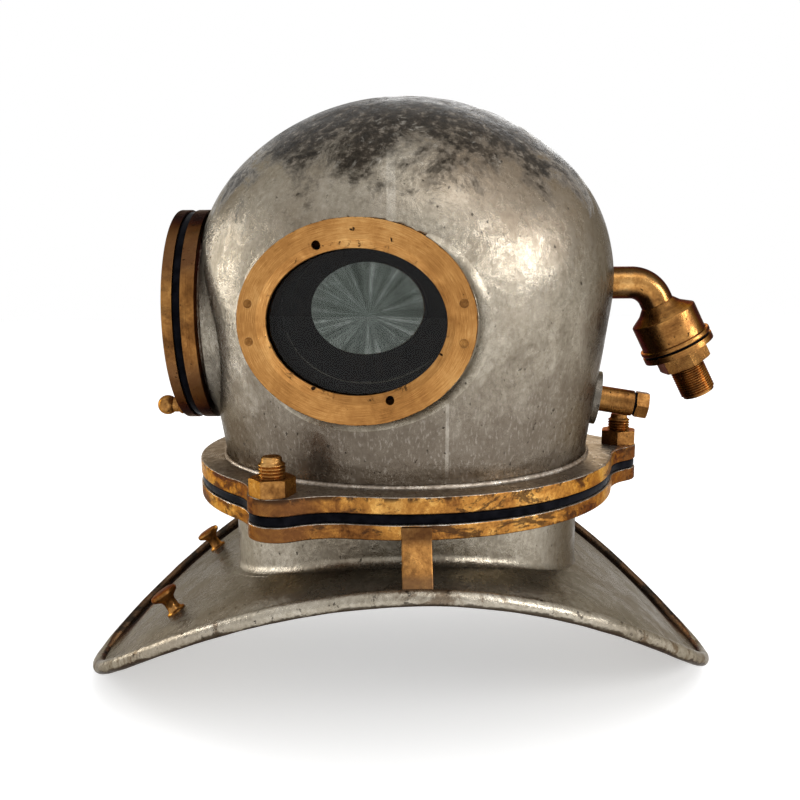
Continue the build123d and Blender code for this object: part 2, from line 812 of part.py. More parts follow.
with BuildPart() as air_elbow:
    with BuildLine(Plane.YZ):
        FilletPolyline(
            (elbow_start_y, elbow_z), (corner_y, elbow_z), (elbow_end.Y, elbow_end.Z), radius=elbow_bend_r
        )
    with BuildSketch(Plane(origin=(0, elbow_start_y, elbow_z), z_dir=(0, 1, 0))):
        Circle(elbow_tube_r)
        Circle(elbow_bore_r, mode=Mode.SUBTRACT)
    sweep()
air_elbow.part.label = "air_elbow"
export_step(air_elbow.part, "parts/air_elbow.step")

with BuildPart() as valve_body:
    turn(
        inlet_section,
        (-body_top, elbow_bore_r),
        (-body_top, elbow_tube_r),
        (-body_top - elbow_skirt, elbow_tube_r),
        (-body_top, body_shoulder_r),
        (-body_shoulder, body_r),
        (-body_face - body_ring_t, body_r),
        (-body_face - body_ring_t, body_ring_r),
        (-body_face, body_ring_r),
        (-body_face, body_bore_r),
        (-body_chamber, body_bore_r),
        (-body_chamber, body_chamber_r),
        (-body_chamber_top, body_chamber_r),
        (-body_cone_top, elbow_bore_r),
    )
valve_body.part.label = "valve_body"
export_step(valve_body.part, "parts/valve_body.step")

nipple_face = valve_gasket_t - body_face
with BuildPart() as valve_gasket:
    turn(
        inlet_section,
        (-body_face, body_bore_r),
        (-body_face, body_ring_r - valve_gasket_inset),
        (nipple_face, body_ring_r - valve_gasket_inset),
        (nipple_face, body_bore_r),
    )
valve_gasket.part.label = "valve_gasket"
export_step(valve_gasket.part, "parts/valve_gasket.step")

seat_along = -body_face - valve_seat_rise
hex_start = nipple_face + nipple_ring_t
hex_end = hex_start + nipple_hex_t
nipple_root = nipple_thread_r - nipple_thread_depth
nipple_thread = thread(
    hex_end + nipple_relief, nipple_thread_count, nipple_pitch, nipple_root, nipple_thread_r
)
nipple_end = nipple_thread[-1][0] + nipple_relief
with BuildPart() as hose_nipple:
    hexagon(inlet_section, hex_start, nipple_hex_t, nipple_hex_across_flats, nipple_relief)
    turn(
        inlet_section,
        (seat_along, 0),
        (seat_along, valve_spigot_r),
        (nipple_face, valve_spigot_r),
        (nipple_face, body_ring_r),
        (hex_start, body_ring_r),
        (hex_start, nipple_root),
        *nipple_thread,
        (nipple_end, nipple_root),
        (nipple_end, 0),
    )
    with BuildSketch(across(inlet_section, seat_along)):
        Circle(nipple_bore_r)
    extrude(amount=nipple_end - seat_along, mode=Mode.SUBTRACT)
hose_nipple.part.label = "hose_nipple"
export_step(hose_nipple.part, "parts/hose_nipple.step")

# Non-return valve inside the inlet: guide plate, disc on its stem, and the closing spring

guide_back = -body_chamber + guide_t
with BuildPart() as valve_guide:
    with BuildSketch(across(inlet_section, -body_chamber)):
        Circle(body_bore_r - guide_clearance)
        Circle(valve_stem_r + stem_running_clearance, mode=Mode.SUBTRACT)
        with PolarLocations(guide_port_circle, guide_port_count):
            Circle(guide_port_r, mode=Mode.SUBTRACT)
    extrude(amount=guide_t)
valve_guide.part.label = "valve_guide"
export_step(valve_guide.part, "parts/valve_guide.step")

disc_back = seat_along - disc_t
with BuildPart() as valve_disc:
    turn(
        inlet_section,
        (disc_back - valve_stem_length, 0),
        (disc_back - valve_stem_length, valve_stem_r),
        (disc_back, valve_stem_r),
        (disc_back, disc_r),
        (seat_along, disc_r),
        (seat_along, 0),
    )
valve_disc.part.label = "valve_disc"
export_step(valve_disc.part, "parts/valve_disc.step")

with BuildPart() as valve_spring:
    turn(
        inlet_section,
        (guide_back, valve_spring_r - spring_wire),
        (guide_back, valve_spring_r),
        (disc_back, valve_spring_r),
        (disc_back, valve_spring_r - spring_wire),
    )
valve_spring.part.label = "valve_spring"
export_step(valve_spring.part, "parts/valve_spring.step")

# Telephone cable entry: base on the dome, socket through it, seal and hexagonal gland cap

with BuildPart() as phone_base:
    with BuildSketch(across(phone_section, -phone_socket_in - overrun)):
        Circle(phone_base_r)
        Circle(phone_socket_r, mode=Mode.SUBTRACT)
    extrude(amount=phone_socket_in + overrun - phone_beyond_foot + shell_wall * 2 + phone_base_t)
    bonnet_form(0, Mode.SUBTRACT)
phone_base.part.label = "phone_base"
export_step(phone_base.part, "parts/phone_base.step")

phone_spigot_end = phone_socket_out + phone_spigot_length
with BuildPart() as phone_socket:
    turn(
        phone_section,
        (-phone_socket_in, phone_bore_r),
        (-phone_socket_in, phone_socket_r),
        (phone_socket_out, phone_socket_r),
        (phone_socket_out, phone_spigot_r),
        (phone_spigot_end, phone_spigot_r),
        (phone_spigot_end, phone_bore_r),
    )
phone_socket.part.label = "phone_socket"
export_step(phone_socket.part, "parts/phone_socket.step")

with BuildPart() as phone_seal:
    turn(
        phone_section,
        (phone_socket_out, phone_spigot_r),
        (phone_socket_out, phone_seal_r),
        (phone_socket_out + phone_seal_t, phone_seal_r),
        (phone_socket_out + phone_seal_t, phone_spigot_r),
    )
phone_seal.part.label = "phone_seal"
export_step(phone_seal.part, "parts/phone_seal.step")

cap_start = phone_socket_out + phone_seal_t + cap_running_clearance
with BuildPart() as phone_gland_cap:
    hexagon(phone_section, cap_start, cap_length, cap_across_flats, cap_chamfer)
    with BuildSketch(across(phone_section, cap_start)):
        Circle(phone_spigot_r + cap_running_clearance)
    extrude(amount=cap_length - cap_floor, mode=Mode.SUBTRACT)
    with BuildSketch(across(phone_section, cap_start)):
        Circle(phone_bore_r)
    extrude(amount=cap_length, mode=Mode.SUBTRACT)
phone_gland_cap.part.label = "phone_gland_cap"
export_step(phone_gland_cap.part, "parts/phone_gland_cap.step")

# Exhaust valve: body through the dome, disc with a stem and inside button, spring, cover

port_start = exhaust_in + exhaust_web_t
exhaust_seat = port_start + exhaust_port_length
exhaust_face = exhaust_seat + exhaust_chamber_length
with BuildPart() as exhaust_body:
    turn(
        exhaust_section,
        (exhaust_in, 0),
        (exhaust_in, exhaust_body_r),
        (exhaust_face, exhaust_body_r),
        (exhaust_face, exhaust_chamber_r),
        (exhaust_seat, exhaust_chamber_r),
        (exhaust_seat, exhaust_port_r),
        (port_start, exhaust_port_r),
        (port_start, 0),
    )
    with BuildSketch(across(exhaust_section, exhaust_in)):
        Circle(exhaust_stem_r + stem_running_clearance)
        with PolarLocations(exhaust_vent_circle, exhaust_vent_count):
            Circle(exhaust_vent_r)
    extrude(amount=exhaust_web_t, mode=Mode.SUBTRACT)
exhaust_body.part.label = "exhaust_body"
export_step(exhaust_body.part, "parts/exhaust_body.step")

disc_outer = exhaust_seat + exhaust_disc_t
button_outer = exhaust_in - button_reach
with BuildPart() as exhaust_disc:
    turn(
        exhaust_section,
        (button_outer - button_t, 0),
        (button_outer - button_t, button_r),
        (button_outer, button_r),
        (button_outer, exhaust_stem_r),
        (exhaust_seat, exhaust_stem_r),
        (exhaust_seat, exhaust_disc_r),
        (disc_outer, exhaust_disc_r),
        (disc_outer, 0),
    )
exhaust_disc.part.label = "exhaust_disc"
export_step(exhaust_disc.part, "parts/exhaust_disc.step")

with BuildPart() as exhaust_spring:
    turn(
        exhaust_section,
        (disc_outer, exhaust_spring_r - spring_wire),
        (disc_outer, exhaust_spring_r),
        (exhaust_face, exhaust_spring_r),
        (exhaust_face, exhaust_spring_r - spring_wire),
    )
exhaust_spring.part.label = "exhaust_spring"
export_step(exhaust_spring.part, "parts/exhaust_spring.step")

with BuildPart() as exhaust_cover:
    turn(
        exhaust_section,
        (exhaust_face, 0),
        (exhaust_face, exhaust_body_r),
        (exhaust_face + cover_rim_t, exhaust_body_r),
        (exhaust_face + cover_crown_t, exhaust_body_r * cover_crown_share),
        (exhaust_face + cover_crown_t, 0),
    )
    with BuildSketch(across(exhaust_section, exhaust_face)):
        with PolarLocations(cover_hole_circle, cover_hole_count):
            Circle(cover_hole_r)
    extrude(amount=cover_crown_t, mode=Mode.SUBTRACT)
exhaust_cover.part.label = "exhaust_cover"
export_step(exhaust_cover.part, "parts/exhaust_cover.step")

# Inside the bonnet: telephone receiver and the hood that spreads the incoming air

receiver_turn = radians(receiver_side_angle)
receiver_section = Plane(
    origin=(0, 0, flange_top_z + receiver_above_flange),
    x_dir=(sin(receiver_turn), cos(receiver_turn), 0),
    z_dir=(cos(receiver_turn), -sin(receiver_turn), 0),
)
with BuildPart() as telephone_receiver:
    with BuildSketch(across(receiver_section, receiver_in)):
        Circle(receiver_r)
    extrude(amount=bonnet_radius - receiver_in)
    bonnet_form(shell_wall, Mode.INTERSECT)
telephone_receiver.part.label = "telephone_receiver"
export_step(telephone_receiver.part, "parts/telephone_receiver.step")

with BuildPart() as air_deflector:
    with BuildSketch(Plane.XZ.offset(-deflector_in)):
        with Locations((0, elbow_z)):
            Rectangle(deflector_half_width * 2, deflector_half_height * 2)
    extrude(amount=deflector_in - bonnet_radius)
    bonnet_form(shell_wall, Mode.INTERSECT)
    with BuildSketch(Plane.XZ.offset(-deflector_in - deflector_sheet)):
        with Locations((0, elbow_z)):
            Rectangle(deflector_half_width * 2, (deflector_half_height - deflector_sheet) * 2)
    extrude(amount=deflector_in - bonnet_radius, mode=Mode.SUBTRACT)
air_deflector.part.label = "air_deflector"
export_step(air_deflector.part, "parts/air_deflector.step")

# Chest studs on the front lobe, square to the plate

chest_z = arch_height(chest_stud_y) + sheet_rise
chest_slope = (arch_height(chest_stud_y + sheet) - arch_height(chest_stud_y - sheet)) / (sheet * 2)
for side_name, side in (("left", 1), ("right", -1)):
    with BuildPart() as chest_stud:
        chest_section = Plane(
            origin=(side * chest_stud_x, chest_stud_y, chest_z), x_dir=(0, -chest_slope, 1), z_dir=(1, 0, 0)
        )
        turn(
            chest_section,
            (-sheet_rise, 0),
            (-sheet_rise, chest_foot_r),
            (chest_foot_t, chest_foot_r),
            (chest_foot_t, chest_stud_r),
            (chest_stud_height - chest_head_t, chest_stud_r),
            (chest_stud_height - chest_head_t, chest_head_r),
            (chest_stud_height, chest_head_r),
            (chest_stud_height, 0),
        )
        add(corselet_plate.part, mode=Mode.SUBTRACT)
    chest_stud.part.label = f"chest_stud_{side_name}"
    export_step(chest_stud.part, f"parts/chest_stud_{side_name}.step")

# Brass straps from the corselet flange down to the plate beside the bead

strap_in = flange_radius + bracket_gap
strap_out = strap_in + bracket_t
strap_foot_out = shoulder_half_width - bead_d / 2 - bracket_foot_gap
strap_top = corselet_flange_z + bracket_head_h
leg_top = corselet_flange_z + bracket_t * bracket_gap + (bracket_head_h - bracket_leg_top)
leg_slope = (leg_top - plate_crest_z) / (strap_foot_out - strap_out)
leg_width = bracket_t * sqrt(1 + 1 / leg_slope**2)
strap_foot_in = strap_foot_out - leg_width
for side_name, side in (("left", 1), ("right", -1)):
    with BuildPart() as side_bracket:
        with BuildSketch(Plane.XZ.offset(-bracket_y - bracket_w / 2)):
            Polygon(
                (side * strap_in, strap_top),
                (side * strap_out, strap_top),
                (side * strap_out, leg_top),
                (side * strap_foot_out, plate_crest_z),
                (side * strap_foot_in, plate_crest_z),
                (side * strap_in, plate_crest_z + (strap_foot_in - strap_in) * leg_slope),
                align=None,
            )
        extrude(amount=bracket_w)
        add(corselet_plate.part, mode=Mode.SUBTRACT)
    side_bracket.part.label = f"side_bracket_{side_name}"
    export_step(side_bracket.part, f"parts/side_bracket_{side_name}.step")
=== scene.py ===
import math

import bpy
from mathutils import Matrix, Vector, noise


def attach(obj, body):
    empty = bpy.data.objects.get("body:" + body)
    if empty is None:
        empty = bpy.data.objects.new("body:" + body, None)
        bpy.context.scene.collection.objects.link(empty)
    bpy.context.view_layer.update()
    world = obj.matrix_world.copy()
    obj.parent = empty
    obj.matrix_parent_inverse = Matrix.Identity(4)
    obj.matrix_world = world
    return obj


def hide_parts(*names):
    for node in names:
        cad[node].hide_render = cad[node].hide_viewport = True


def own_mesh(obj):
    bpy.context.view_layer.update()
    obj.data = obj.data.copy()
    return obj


# Three-bolt diving helmet in tinned copper and brass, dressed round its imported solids.
# Metres, +Z up. The faceplate looks along -Y and the wearer's left is +X.

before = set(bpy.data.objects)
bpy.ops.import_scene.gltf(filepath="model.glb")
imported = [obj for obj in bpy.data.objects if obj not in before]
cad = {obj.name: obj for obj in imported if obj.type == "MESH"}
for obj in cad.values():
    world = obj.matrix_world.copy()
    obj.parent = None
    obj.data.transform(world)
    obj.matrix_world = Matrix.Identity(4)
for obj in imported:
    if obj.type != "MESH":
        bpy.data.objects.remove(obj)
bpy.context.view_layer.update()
bpy.ops.object.select_all(action="DESELECT")

# Corselet plate: a saddle of copper sheet with the neck hole in its crown.
# It is beaten over a form, tinned all over, and dished a little along its edge beside the bead.

half_width = 0.178
front_radius = 0.238
rear_radius = 0.220
crest_y = 0.004
crest_z = 0.11375
arch_drop = 0.1093
arch_power = 1.98
sheet_rise = 0.00075
sheet_wall = 0.002
neck_bore = 0.1251
neck_radius = 0.1276
plate_dish = 0.0028
dish_inboard = 0.013
dish_width = 0.010
plate_wave = 0.0006
forward = Vector((0, -1, 0))
across = Vector((1, 0, 0))
upward = Vector((0, 0, 1))


def node(tree, kind, inputs=None, **settings):
    """Shader node with its settings, input values and wires."""
    made = tree.nodes.new(kind)
    for key, value in settings.items():
        setattr(made, key, value)
    for key, value in (inputs or {}).items():
        if isinstance(value, bpy.types.NodeSocket):
            tree.links.new(value, made.inputs[key])
        else:
            made.inputs[key].default_value = value
    return made


def new_finish(name):
    """Empty metal or rubber finish: its node tree, its main shader and the piece's own coordinates."""
    finish = bpy.data.materials.new(name)
    finish.use_nodes = True
    tree = finish.node_tree
    shader = tree.nodes["Principled BSDF"]
    place = node(tree, "ShaderNodeTexCoord").outputs["Object"]
    return finish, tree, shader, place


def grains(tree, place, scale, detail, rough, stretch=None, warp=0.0):
    """Noise between 0 and 1 over the piece, finer as scale grows."""
    if stretch:
        place = node(tree, "ShaderNodeMapping", {"Vector": place, "Scale": stretch}).outputs[0]
    made = node(
        tree,
        "ShaderNodeTexNoise",
        {"Vector": place, "Scale": scale, "Detail": detail, "Roughness": rough, "Distortion": warp},
    )
    return made.outputs["Fac"]


def tones(tree, level, *stops, light=1.0):
    """Colours along a level: (place, (red, green, blue)) from dark to light."""
    ramp = node(tree, "ShaderNodeValToRGB", {"Fac": level})
    marks = ramp.color_ramp.elements
    for mark, (where, colour) in zip((marks[0], marks[1]), (stops[0], stops[-1])):
        mark.position = where
        mark.color = (*(part * light for part in colour), 1)
    for where, colour in stops[1:-1]:
        marks.new(where).color = (*(part * light for part in colour), 1)
    return ramp.outputs["Color"]


def spread(tree, level, low, high, to_low=0.0, to_high=1.0):
    """Level stretched from one range to another and held at its ends."""
    inputs = {0: level, 1: low, 2: high, 3: to_low, 4: to_high}
    made = node(tree, "ShaderNodeMapRange", inputs, interpolation_type="SMOOTHSTEP")
    return made.outputs[0]


def sum_of(tree, kind, first, second):
    """Two levels added, multiplied and so on."""
    return node(tree, "ShaderNodeMath", {0: first, 1: second}, operation=kind).outputs[0]


def times(tree, first, second):
    """Two levels multiplied."""
    return sum_of(tree, "MULTIPLY", first, second)


def diagonal(tree, wide, long):
    """Distance covered by two steps at right angles."""
    squares = [times(tree, step, step) for step in (wide, long)]
    return sum_of(tree, "SQRT", sum_of(tree, "ADD", *squares), 0.0)


def weighted(tree, *parts):
    """Levels added together, each times its share."""
    total = 0.0
    for level, share in parts:
        inputs = {0: level, 1: share, 2: total}
        total = node(tree, "ShaderNodeMath", inputs, operation="MULTIPLY_ADD").outputs[0]
    return total


def along_axis(tree, place, axis):
    """Distance of each point along an axis through the origin."""
    return node(tree, "ShaderNodeVectorMath", {0: place, 1: axis}, operation="DOT_PRODUCT").outputs["Value"]


def facing(tree):
    """The direction that the surface faces."""
    return node(tree, "ShaderNodeNewGeometry").outputs["Normal"]


def over(tree, cover, under, upper):
    """One colour laid over another where the cover is 1."""
    if isinstance(upper, tuple):
        upper = (*upper, 1)
    made = node(tree, "ShaderNodeMix", {0: cover, 6: under, 7: upper}, data_type="RGBA")
    return made.outputs[2]


def relief(tree, shader, *layers):
    """Bump from one or more (level, depth in metres) layers."""
    normal = None
    for level, depth in layers:
        inputs = {"Height": level, "Distance": depth, "Strength": 1.0}
        if normal:
            inputs["Normal"] = normal
        normal = node(tree, "ShaderNodeBump", inputs).outputs[0]
    tree.links.new(normal, shader.inputs["Normal"])


def surfaced(tree, shader, colour, rough, metal=0.0, edge=(1, 1, 1)):
    """Colour and roughness wired in, with how metallic it is and the tint of its edges set."""
    tree.links.new(colour, shader.inputs["Base Color"])
    tree.links.new(rough, shader.inputs["Roughness"])
    shader.inputs["Metallic"].default_value = metal
    shader.inputs["Specular Tint"].default_value = (*edge, 1)


def tinned(name, grime, light=1.0, wear_and_shade=None):
    """Old tinning on copper: warm grey and mottled, brown where it is thin, scratched and pitted."""
    finish, tree, shader, place = new_finish(name)
    clouds = grains(tree, place, 10, 5, 0.6)
    mottle = grains(tree, place, 48, 10, 0.74, warp=0.3)
    flecks = grains(tree, place, 330, 6, 0.7)
    scratch = grains(tree, place, 460, 3, 0.6, stretch=(1, 1, 0.3))
    colour = tones(
        tree,
        weighted(tree, (clouds, 0.30), (mottle, 0.38), (flecks, 0.24), (scratch, 0.08)),
        (0.38, (0.140, 0.118, 0.088)),
        (0.46, (0.245, 0.214, 0.166)),
        (0.53, (0.340, 0.305, 0.246)),
        (0.63, (0.520, 0.480, 0.410)),
        light=light,
    )
    thin = weighted(tree, (grains(tree, place, 7, 4, 0.55), 0.7), (mottle, 0.3))
    colour = over(tree, spread(tree, thin, 0.49, 0.62, 0, grime), colour, (0.150, 0.108, 0.068))
    # The hook below adds wear, and on several pieces painted shade and painted reflection as well.
    if wear_and_shade:
        colour = wear_and_shade(tree, place, colour, mottle, shader)
    pits = spread(tree, grains(tree, place, 240, 3, 0.5), 0.69, 0.73)
    colour = over(tree, times(tree, pits, 0.8), colour, (0.03, 0.024, 0.018))
    rough = spread(tree, mottle, 0.36, 0.60, 0.38, 0.17)
    surfaced(tree, shader, colour, rough, 0.9, (0.30, 0.27, 0.23))
    layers = (clouds, 0.0035), (mottle, 0.0008), (flecks, 0.00012), (scratch, 0.00004), (pits, -0.0003)
    relief(tree, shader, *layers)
    return finish


def applied(piece, kind, **settings):
    """The piece with one modifier added, set and applied."""
    modifier = piece.modifiers.new(kind.title(), kind)
    for key, value in settings.items():
        setattr(modifier, key, value)
    bpy.context.view_layer.objects.active = piece
    bpy.ops.object.modifier_apply(modifier=modifier.name)
    return piece


def shaped_grid(name, around, along, place):
    """Grid primitive whose vertices go to place(u, v), merged where they meet."""
    bpy.ops.mesh.primitive_grid_add(x_subdivisions=around, y_subdivisions=along, size=1)
    piece = bpy.context.object
    piece.name = piece.data.name = name
    for vertex in piece.data.vertices:
        vertex.co = place(vertex.co.x + 0.5, vertex.co.y + 0.5)
    bpy.ops.object.mode_set(mode="EDIT")
    bpy.ops.mesh.select_all(action="SELECT")
    bpy.ops.mesh.remove_doubles(threshold=0.00002)
    bpy.ops.object.mode_set(mode="OBJECT")
    bpy.ops.object.shade_smooth()
    return piece


def fitted(piece, body, slot, finishes, *stands_for):
    """The finished piece on its body, standing for its solids. The slot is not used."""
    if not piece.data.materials:
        for finish in finishes:
            piece.data.materials.append(finish)
    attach(piece, body)
    if stands_for:
        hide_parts(*stands_for)
    bpy.ops.object.select_all(action="DESELECT")
    return piece


def arch_height(y):
    """Height of the bead's centre line from front to back."""
    run = front_radius if y < crest_y else rear_radius
    return crest_z - arch_drop * abs((y - crest_y) / run) ** arch_power


def rim_point(turn):
    """Point in plan on the plate's outline, turned from the wearer's left."""
    lobe = rear_radius if math.sin(turn) > 0 else front_radius
    return Vector((half_width * math.cos(turn), crest_y + lobe * math.sin(turn), 0))


def plate_point(turn, share):
    """Point on the top of the plate: share 0 at the rim and 1 at the neck hole."""
    rim = rim_point(turn)
    heading = math.atan2(rim.y, rim.x)
    hole = Vector((neck_bore * math.cos(heading), neck_bore * math.sin(heading), 0))
    point = rim.lerp(hole, share)
    inboard = (point - rim).length
    dish = plate_dish * math.exp(-(((inboard - dish_inboard) / dish_width) ** 2))
    point.z = arch_height(point.y) + sheet_rise - dish
    point.z += plate_wave * noise.noise(point * 22)
    return point


def plate_shade_and_specks(tree, place, colour, mottle, shader):
    """Painted shade, near black, along the dished border on the wearer's right, with a copper-coloured line
    just inboard of it, and dark specks all over.
    """
    spot = node(tree, "ShaderNodeSeparateXYZ", {0: place}).outputs
    wide = sum_of(tree, "DIVIDE", spot["X"], half_width)
    back = sum_of(tree, "SUBTRACT", spot["Y"], crest_y)
    lobes = [sum_of(tree, "DIVIDE", back, run) for run in (rear_radius, -front_radius)]
    reach = diagonal(tree, wide, sum_of(tree, "MAXIMUM", *lobes))
    reach = weighted(tree, (reach, 1.0), (mottle, 0.14))
    right_side = spread(tree, spot["X"], 0.03, -0.03)
    copper = times(tree, spread(tree, reach, 0.945, 0.960, 0, 0.85), right_side)
    colour = over(tree, copper, colour, (0.26, 0.115, 0.040))
    # Painted shade: the near-black band along the border on the wearer's right.
    dark_cover = times(tree, spread(tree, reach, 0.968, 0.990, 0, 0.95), right_side)
    colour = over(tree, dark_cover, colour, (0.020, 0.013, 0.009))
    speck = spread(tree, grains(tree, place, 210, 7, 0.75, warp=0.6), 0.60, 0.66, 0, 0.7)
    return over(tree, speck, colour, (0.040, 0.032, 0.024))


tin_plate = tinned("tinned_plate", grime=0.4, light=0.84, wear_and_shade=plate_shade_and_specks)
plate = shaped_grid("saddle_plate", 256, 40, lambda u, v: plate_point(u * math.tau, v))
applied(plate, "SOLIDIFY", thickness=sheet_wall, offset=-1)
fitted(plate, "corselet", "tinned_copper", [tin_plate], "corselet_plate")

# Rim bead: a round edging all along the plate, tinned with it, bruised and browned.
# It is a tube rolled round the sheet's edge and soldered, and the helmet stands on its two tips.

bead_radius = 0.00475


def bead_point(u, v):
    """Point on the skin of the bead, once along it and once round it."""
    turn = u * math.tau
    centre, ahead, behind = (rim_point(turn + step) for step in (0, 0.004, -0.004))
    for point in (centre, ahead, behind):
        point.z = arch_height(point.y)
    along = (ahead - behind).normalized()
    side = along.cross(upward).normalized()
    rise = side.cross(along)
    angle = v * math.tau
    dent = 1 + 0.05 * noise.noise(centre * 60)
    point = centre + bead_radius * dent * (side * math.cos(angle) + rise * math.sin(angle))
    point.z = max(point.z, 0)
    return point


def bead_wear_and_shade(tree, place, colour, mottle, shader):
    """Painted shade on the side of the bead that faces the helmet and on its top on the wearer's right,
    bare copper and nicks, and painted shade under it.
    """
    inward = node(tree, "ShaderNodeVectorMath", {0: place, 1: (-1, -1, 0)}, operation="MULTIPLY")
    inward = node(tree, "ShaderNodeVectorMath", {0: inward.outputs[0]}, operation="NORMALIZE")
    normal = facing(tree)
    turned_in = along_axis(tree, normal, inward.outputs[0])
    right_side = spread(tree, along_axis(tree, place, across), 0.02, -0.04)
    topside = weighted(tree, (along_axis(tree, normal, upward), 1.0), (mottle, 0.3))
    topside = times(tree, topside, right_side)
    # Painted shade, near black to brown, on the inward face and on the top along the wearer's right.
    dark_cover = weighted(tree, (turned_in, 1.0), (mottle, 0.9), (topside, 0.9))
    painted_shade_tones = tones(tree, mottle, (0.44, (0.018, 0.012, 0.008)), (0.58, (0.100, 0.050, 0.022)))
    colour = over(tree, spread(tree, dark_cover, 0.50, 0.80, 0, 0.95), colour, painted_shade_tones)
    bare = spread(tree, grains(tree, place, 26, 8, 0.75, warp=0.4), 0.53, 0.60, 0, 0.75)
    colour = over(tree, bare, colour, (0.105, 0.068, 0.040))
    nick = spread(tree, grains(tree, place, 170, 6, 0.75), 0.58, 0.64, 0, 0.85)
    colour = over(tree, nick, colour, (0.030, 0.022, 0.016))
    # Painted shade on the underside, broken up by the mottle.
    under = weighted(tree, (along_axis(tree, normal, -upward), 1.0), (mottle, 2.4))
    return over(tree, spread(tree, under, 1.45, 1.75, 0, 0.9), colour, (0.045, 0.034, 0.024))


tin_bead = tinned("tinned_bead", grime=0.4, light=1.1, wear_and_shade=bead_wear_and_shade)
bead = shaped_grid("rolled_bead", 420, 24, bead_point)
fitted(bead, "corselet", "tinned_copper", [tin_bead], "rim_bead")

# Neck tube: a short copper tube that carries the lower flange, with a soldered fillet at its foot.
# The fillet follows the arch of the plate.

joint_z = 0.1468
neck_fillet = 0.0065
fillet_share = 0.35


def neck_point(u, v):
    """Point on the tube's outside, from the fillet's toe on the plate up to the joint."""
    turn = u * math.tau
    outward = Vector((math.cos(turn), math.sin(turn), 0))
    bend = min(v / fillet_share, 1) * math.pi / 2
    reach = neck_radius + neck_fillet * (1 - math.sin(bend))
    toe = arch_height(outward.y * (neck_radius + neck_fillet)) + sheet_rise
    foot = toe + neck_fillet * (1 - math.cos(bend))
    climb = max(v - fillet_share, 0) / (1 - fillet_share)
    point = outward * reach
    point.z = foot + (joint_z - foot) * climb
    return point


def neck_painted_shade(tree, place, colour, mottle, shader):
    """Painted shade: duller and browner towards the rear."""
    rear = weighted(tree, (along_axis(tree, place, -forward), 1.0), (mottle, 0.03))
    return over(tree, spread(tree, rear, 0.092, 0.124, 0, 0.75), colour, (0.070, 0.060, 0.052))


tin_neck = tinned("tinned_neck", grime=0.35, wear_and_shade=neck_painted_shade)
neck = shaped_grid("neck_tube", 256, 40, neck_point)
applied(neck, "SOLIDIFY", thickness=neck_radius - neck_bore, offset=-1)
fitted(neck, "corselet", "tinned_copper", [tin_neck], "corselet_neck")

# Flanges: two brass castings with three lugs, clamped on a gasket of black rubber.
# Their rims show brass where the tinning has worn off, and their flat faces are still grey.

gasket_top = 0.1531
flange_bottom = 0.1375
flange_top = 0.1635
foot_radius = 0.1335
flange_radius = 0.1522
flange_ease = 0.0009
gasket_ease = 0.0016
gasket_inset = 0.0008
bolt_circle = 0.1628
bolt_turns = {"rear": 90, "front_right": 210, "front_left": 330}
stud_grip = 0.0080
stud_clearance = 0.0086
lug_radius = 0.0195
lug_centre = 0.1558
lug_hollow = 0.045


def eased(solid, width, sharp=32):
    """Copy of a CAD solid with its triangles joined, its flats made whole and its edges rounded."""
    piece = cad[solid].copy()
    piece.data = cad[solid].data.copy()
    for key in list(piece.keys()):
        del piece[key]
    piece.parent = None
    bpy.context.scene.collection.objects.link(piece)
    piece.name = piece.data.name = f"{solid}_eased"
    piece.data.materials.clear()
    bpy.ops.object.select_all(action="DESELECT")
    piece.select_set(True)
    bpy.context.view_layer.objects.active = piece
    bpy.ops.object.mode_set(mode="EDIT")
    bpy.ops.mesh.select_all(action="SELECT")
    bpy.ops.mesh.remove_doubles(threshold=0.000002)
    bpy.ops.mesh.dissolve_limited(angle_limit=math.radians(0.4))
    bpy.ops.object.mode_set(mode="OBJECT")
    if width:
        corner = math.radians(sharp)
        applied(piece, "BEVEL", width=width, segments=2, limit_method="ANGLE", angle_limit=corner)
    bpy.ops.object.shade_smooth_by_angle(angle=math.radians(sharp))
    applied(piece, "WEIGHTED_NORMAL", keep_sharp=True)
    return piece


def aged_brass(name, light=1.0, dark_cover=0.5, rough=(0.46, 0.26), turned=None, wear_and_shade=None):
    """Old brass: golden brown with dark blotches and pits, and fine rings where it was turned."""
    finish, tree, shader, place = new_finish(name)
    blots = grains(tree, place, 60, 8, 0.7, warp=0.3)
    clouds = grains(tree, place, 18, 4, 0.6)
    flecks = grains(tree, place, 480, 4, 0.65)
    shares = [(clouds, 0.40), (blots, 0.42), (flecks, 0.18)]
    layers = [(blots, 0.0004), (flecks, 0.00006)]
    if turned:
        inputs = {"W": along_axis(tree, place, turned), "Scale": 1500, "Detail": 3, "Roughness": 0.6}
        rings = node(tree, "ShaderNodeTexNoise", inputs, noise_dimensions="1D").outputs["Fac"]
        shares = [(clouds, 0.38), (blots, 0.40), (flecks, 0.10), (rings, 0.12)]
        layers.append((rings, 0.00005))
    colour = tones(
        tree,
        weighted(tree, *shares),
        (0.38, (0.075, 0.030, 0.009)),
        (0.46, (0.215, 0.094, 0.026)),
        (0.54, (0.400, 0.195, 0.055)),
        (0.65, (0.700, 0.410, 0.150)),
        light=light,
    )
    dark = spread(tree, grains(tree, place, 30, 7, 0.72, warp=0.5), 0.52, 0.62, 0, dark_cover)
    colour = over(tree, dark, colour, (0.062, 0.028, 0.012))
    # The hook below adds wear, and on several pieces painted shade and painted reflection as well.
    if wear_and_shade:
        colour = wear_and_shade(tree, place, colour, blots)
    pits = spread(tree, grains(tree, place, 280, 3, 0.5), 0.68, 0.73)
    colour = over(tree, pits, colour, (0.022, 0.012, 0.006))
    surfaced(tree, shader, colour, spread(tree, blots, 0.38, 0.62, *rough), 0.95, (0.34, 0.25, 0.17))
    relief(tree, shader, *layers, (pits, -0.00025))
    return finish


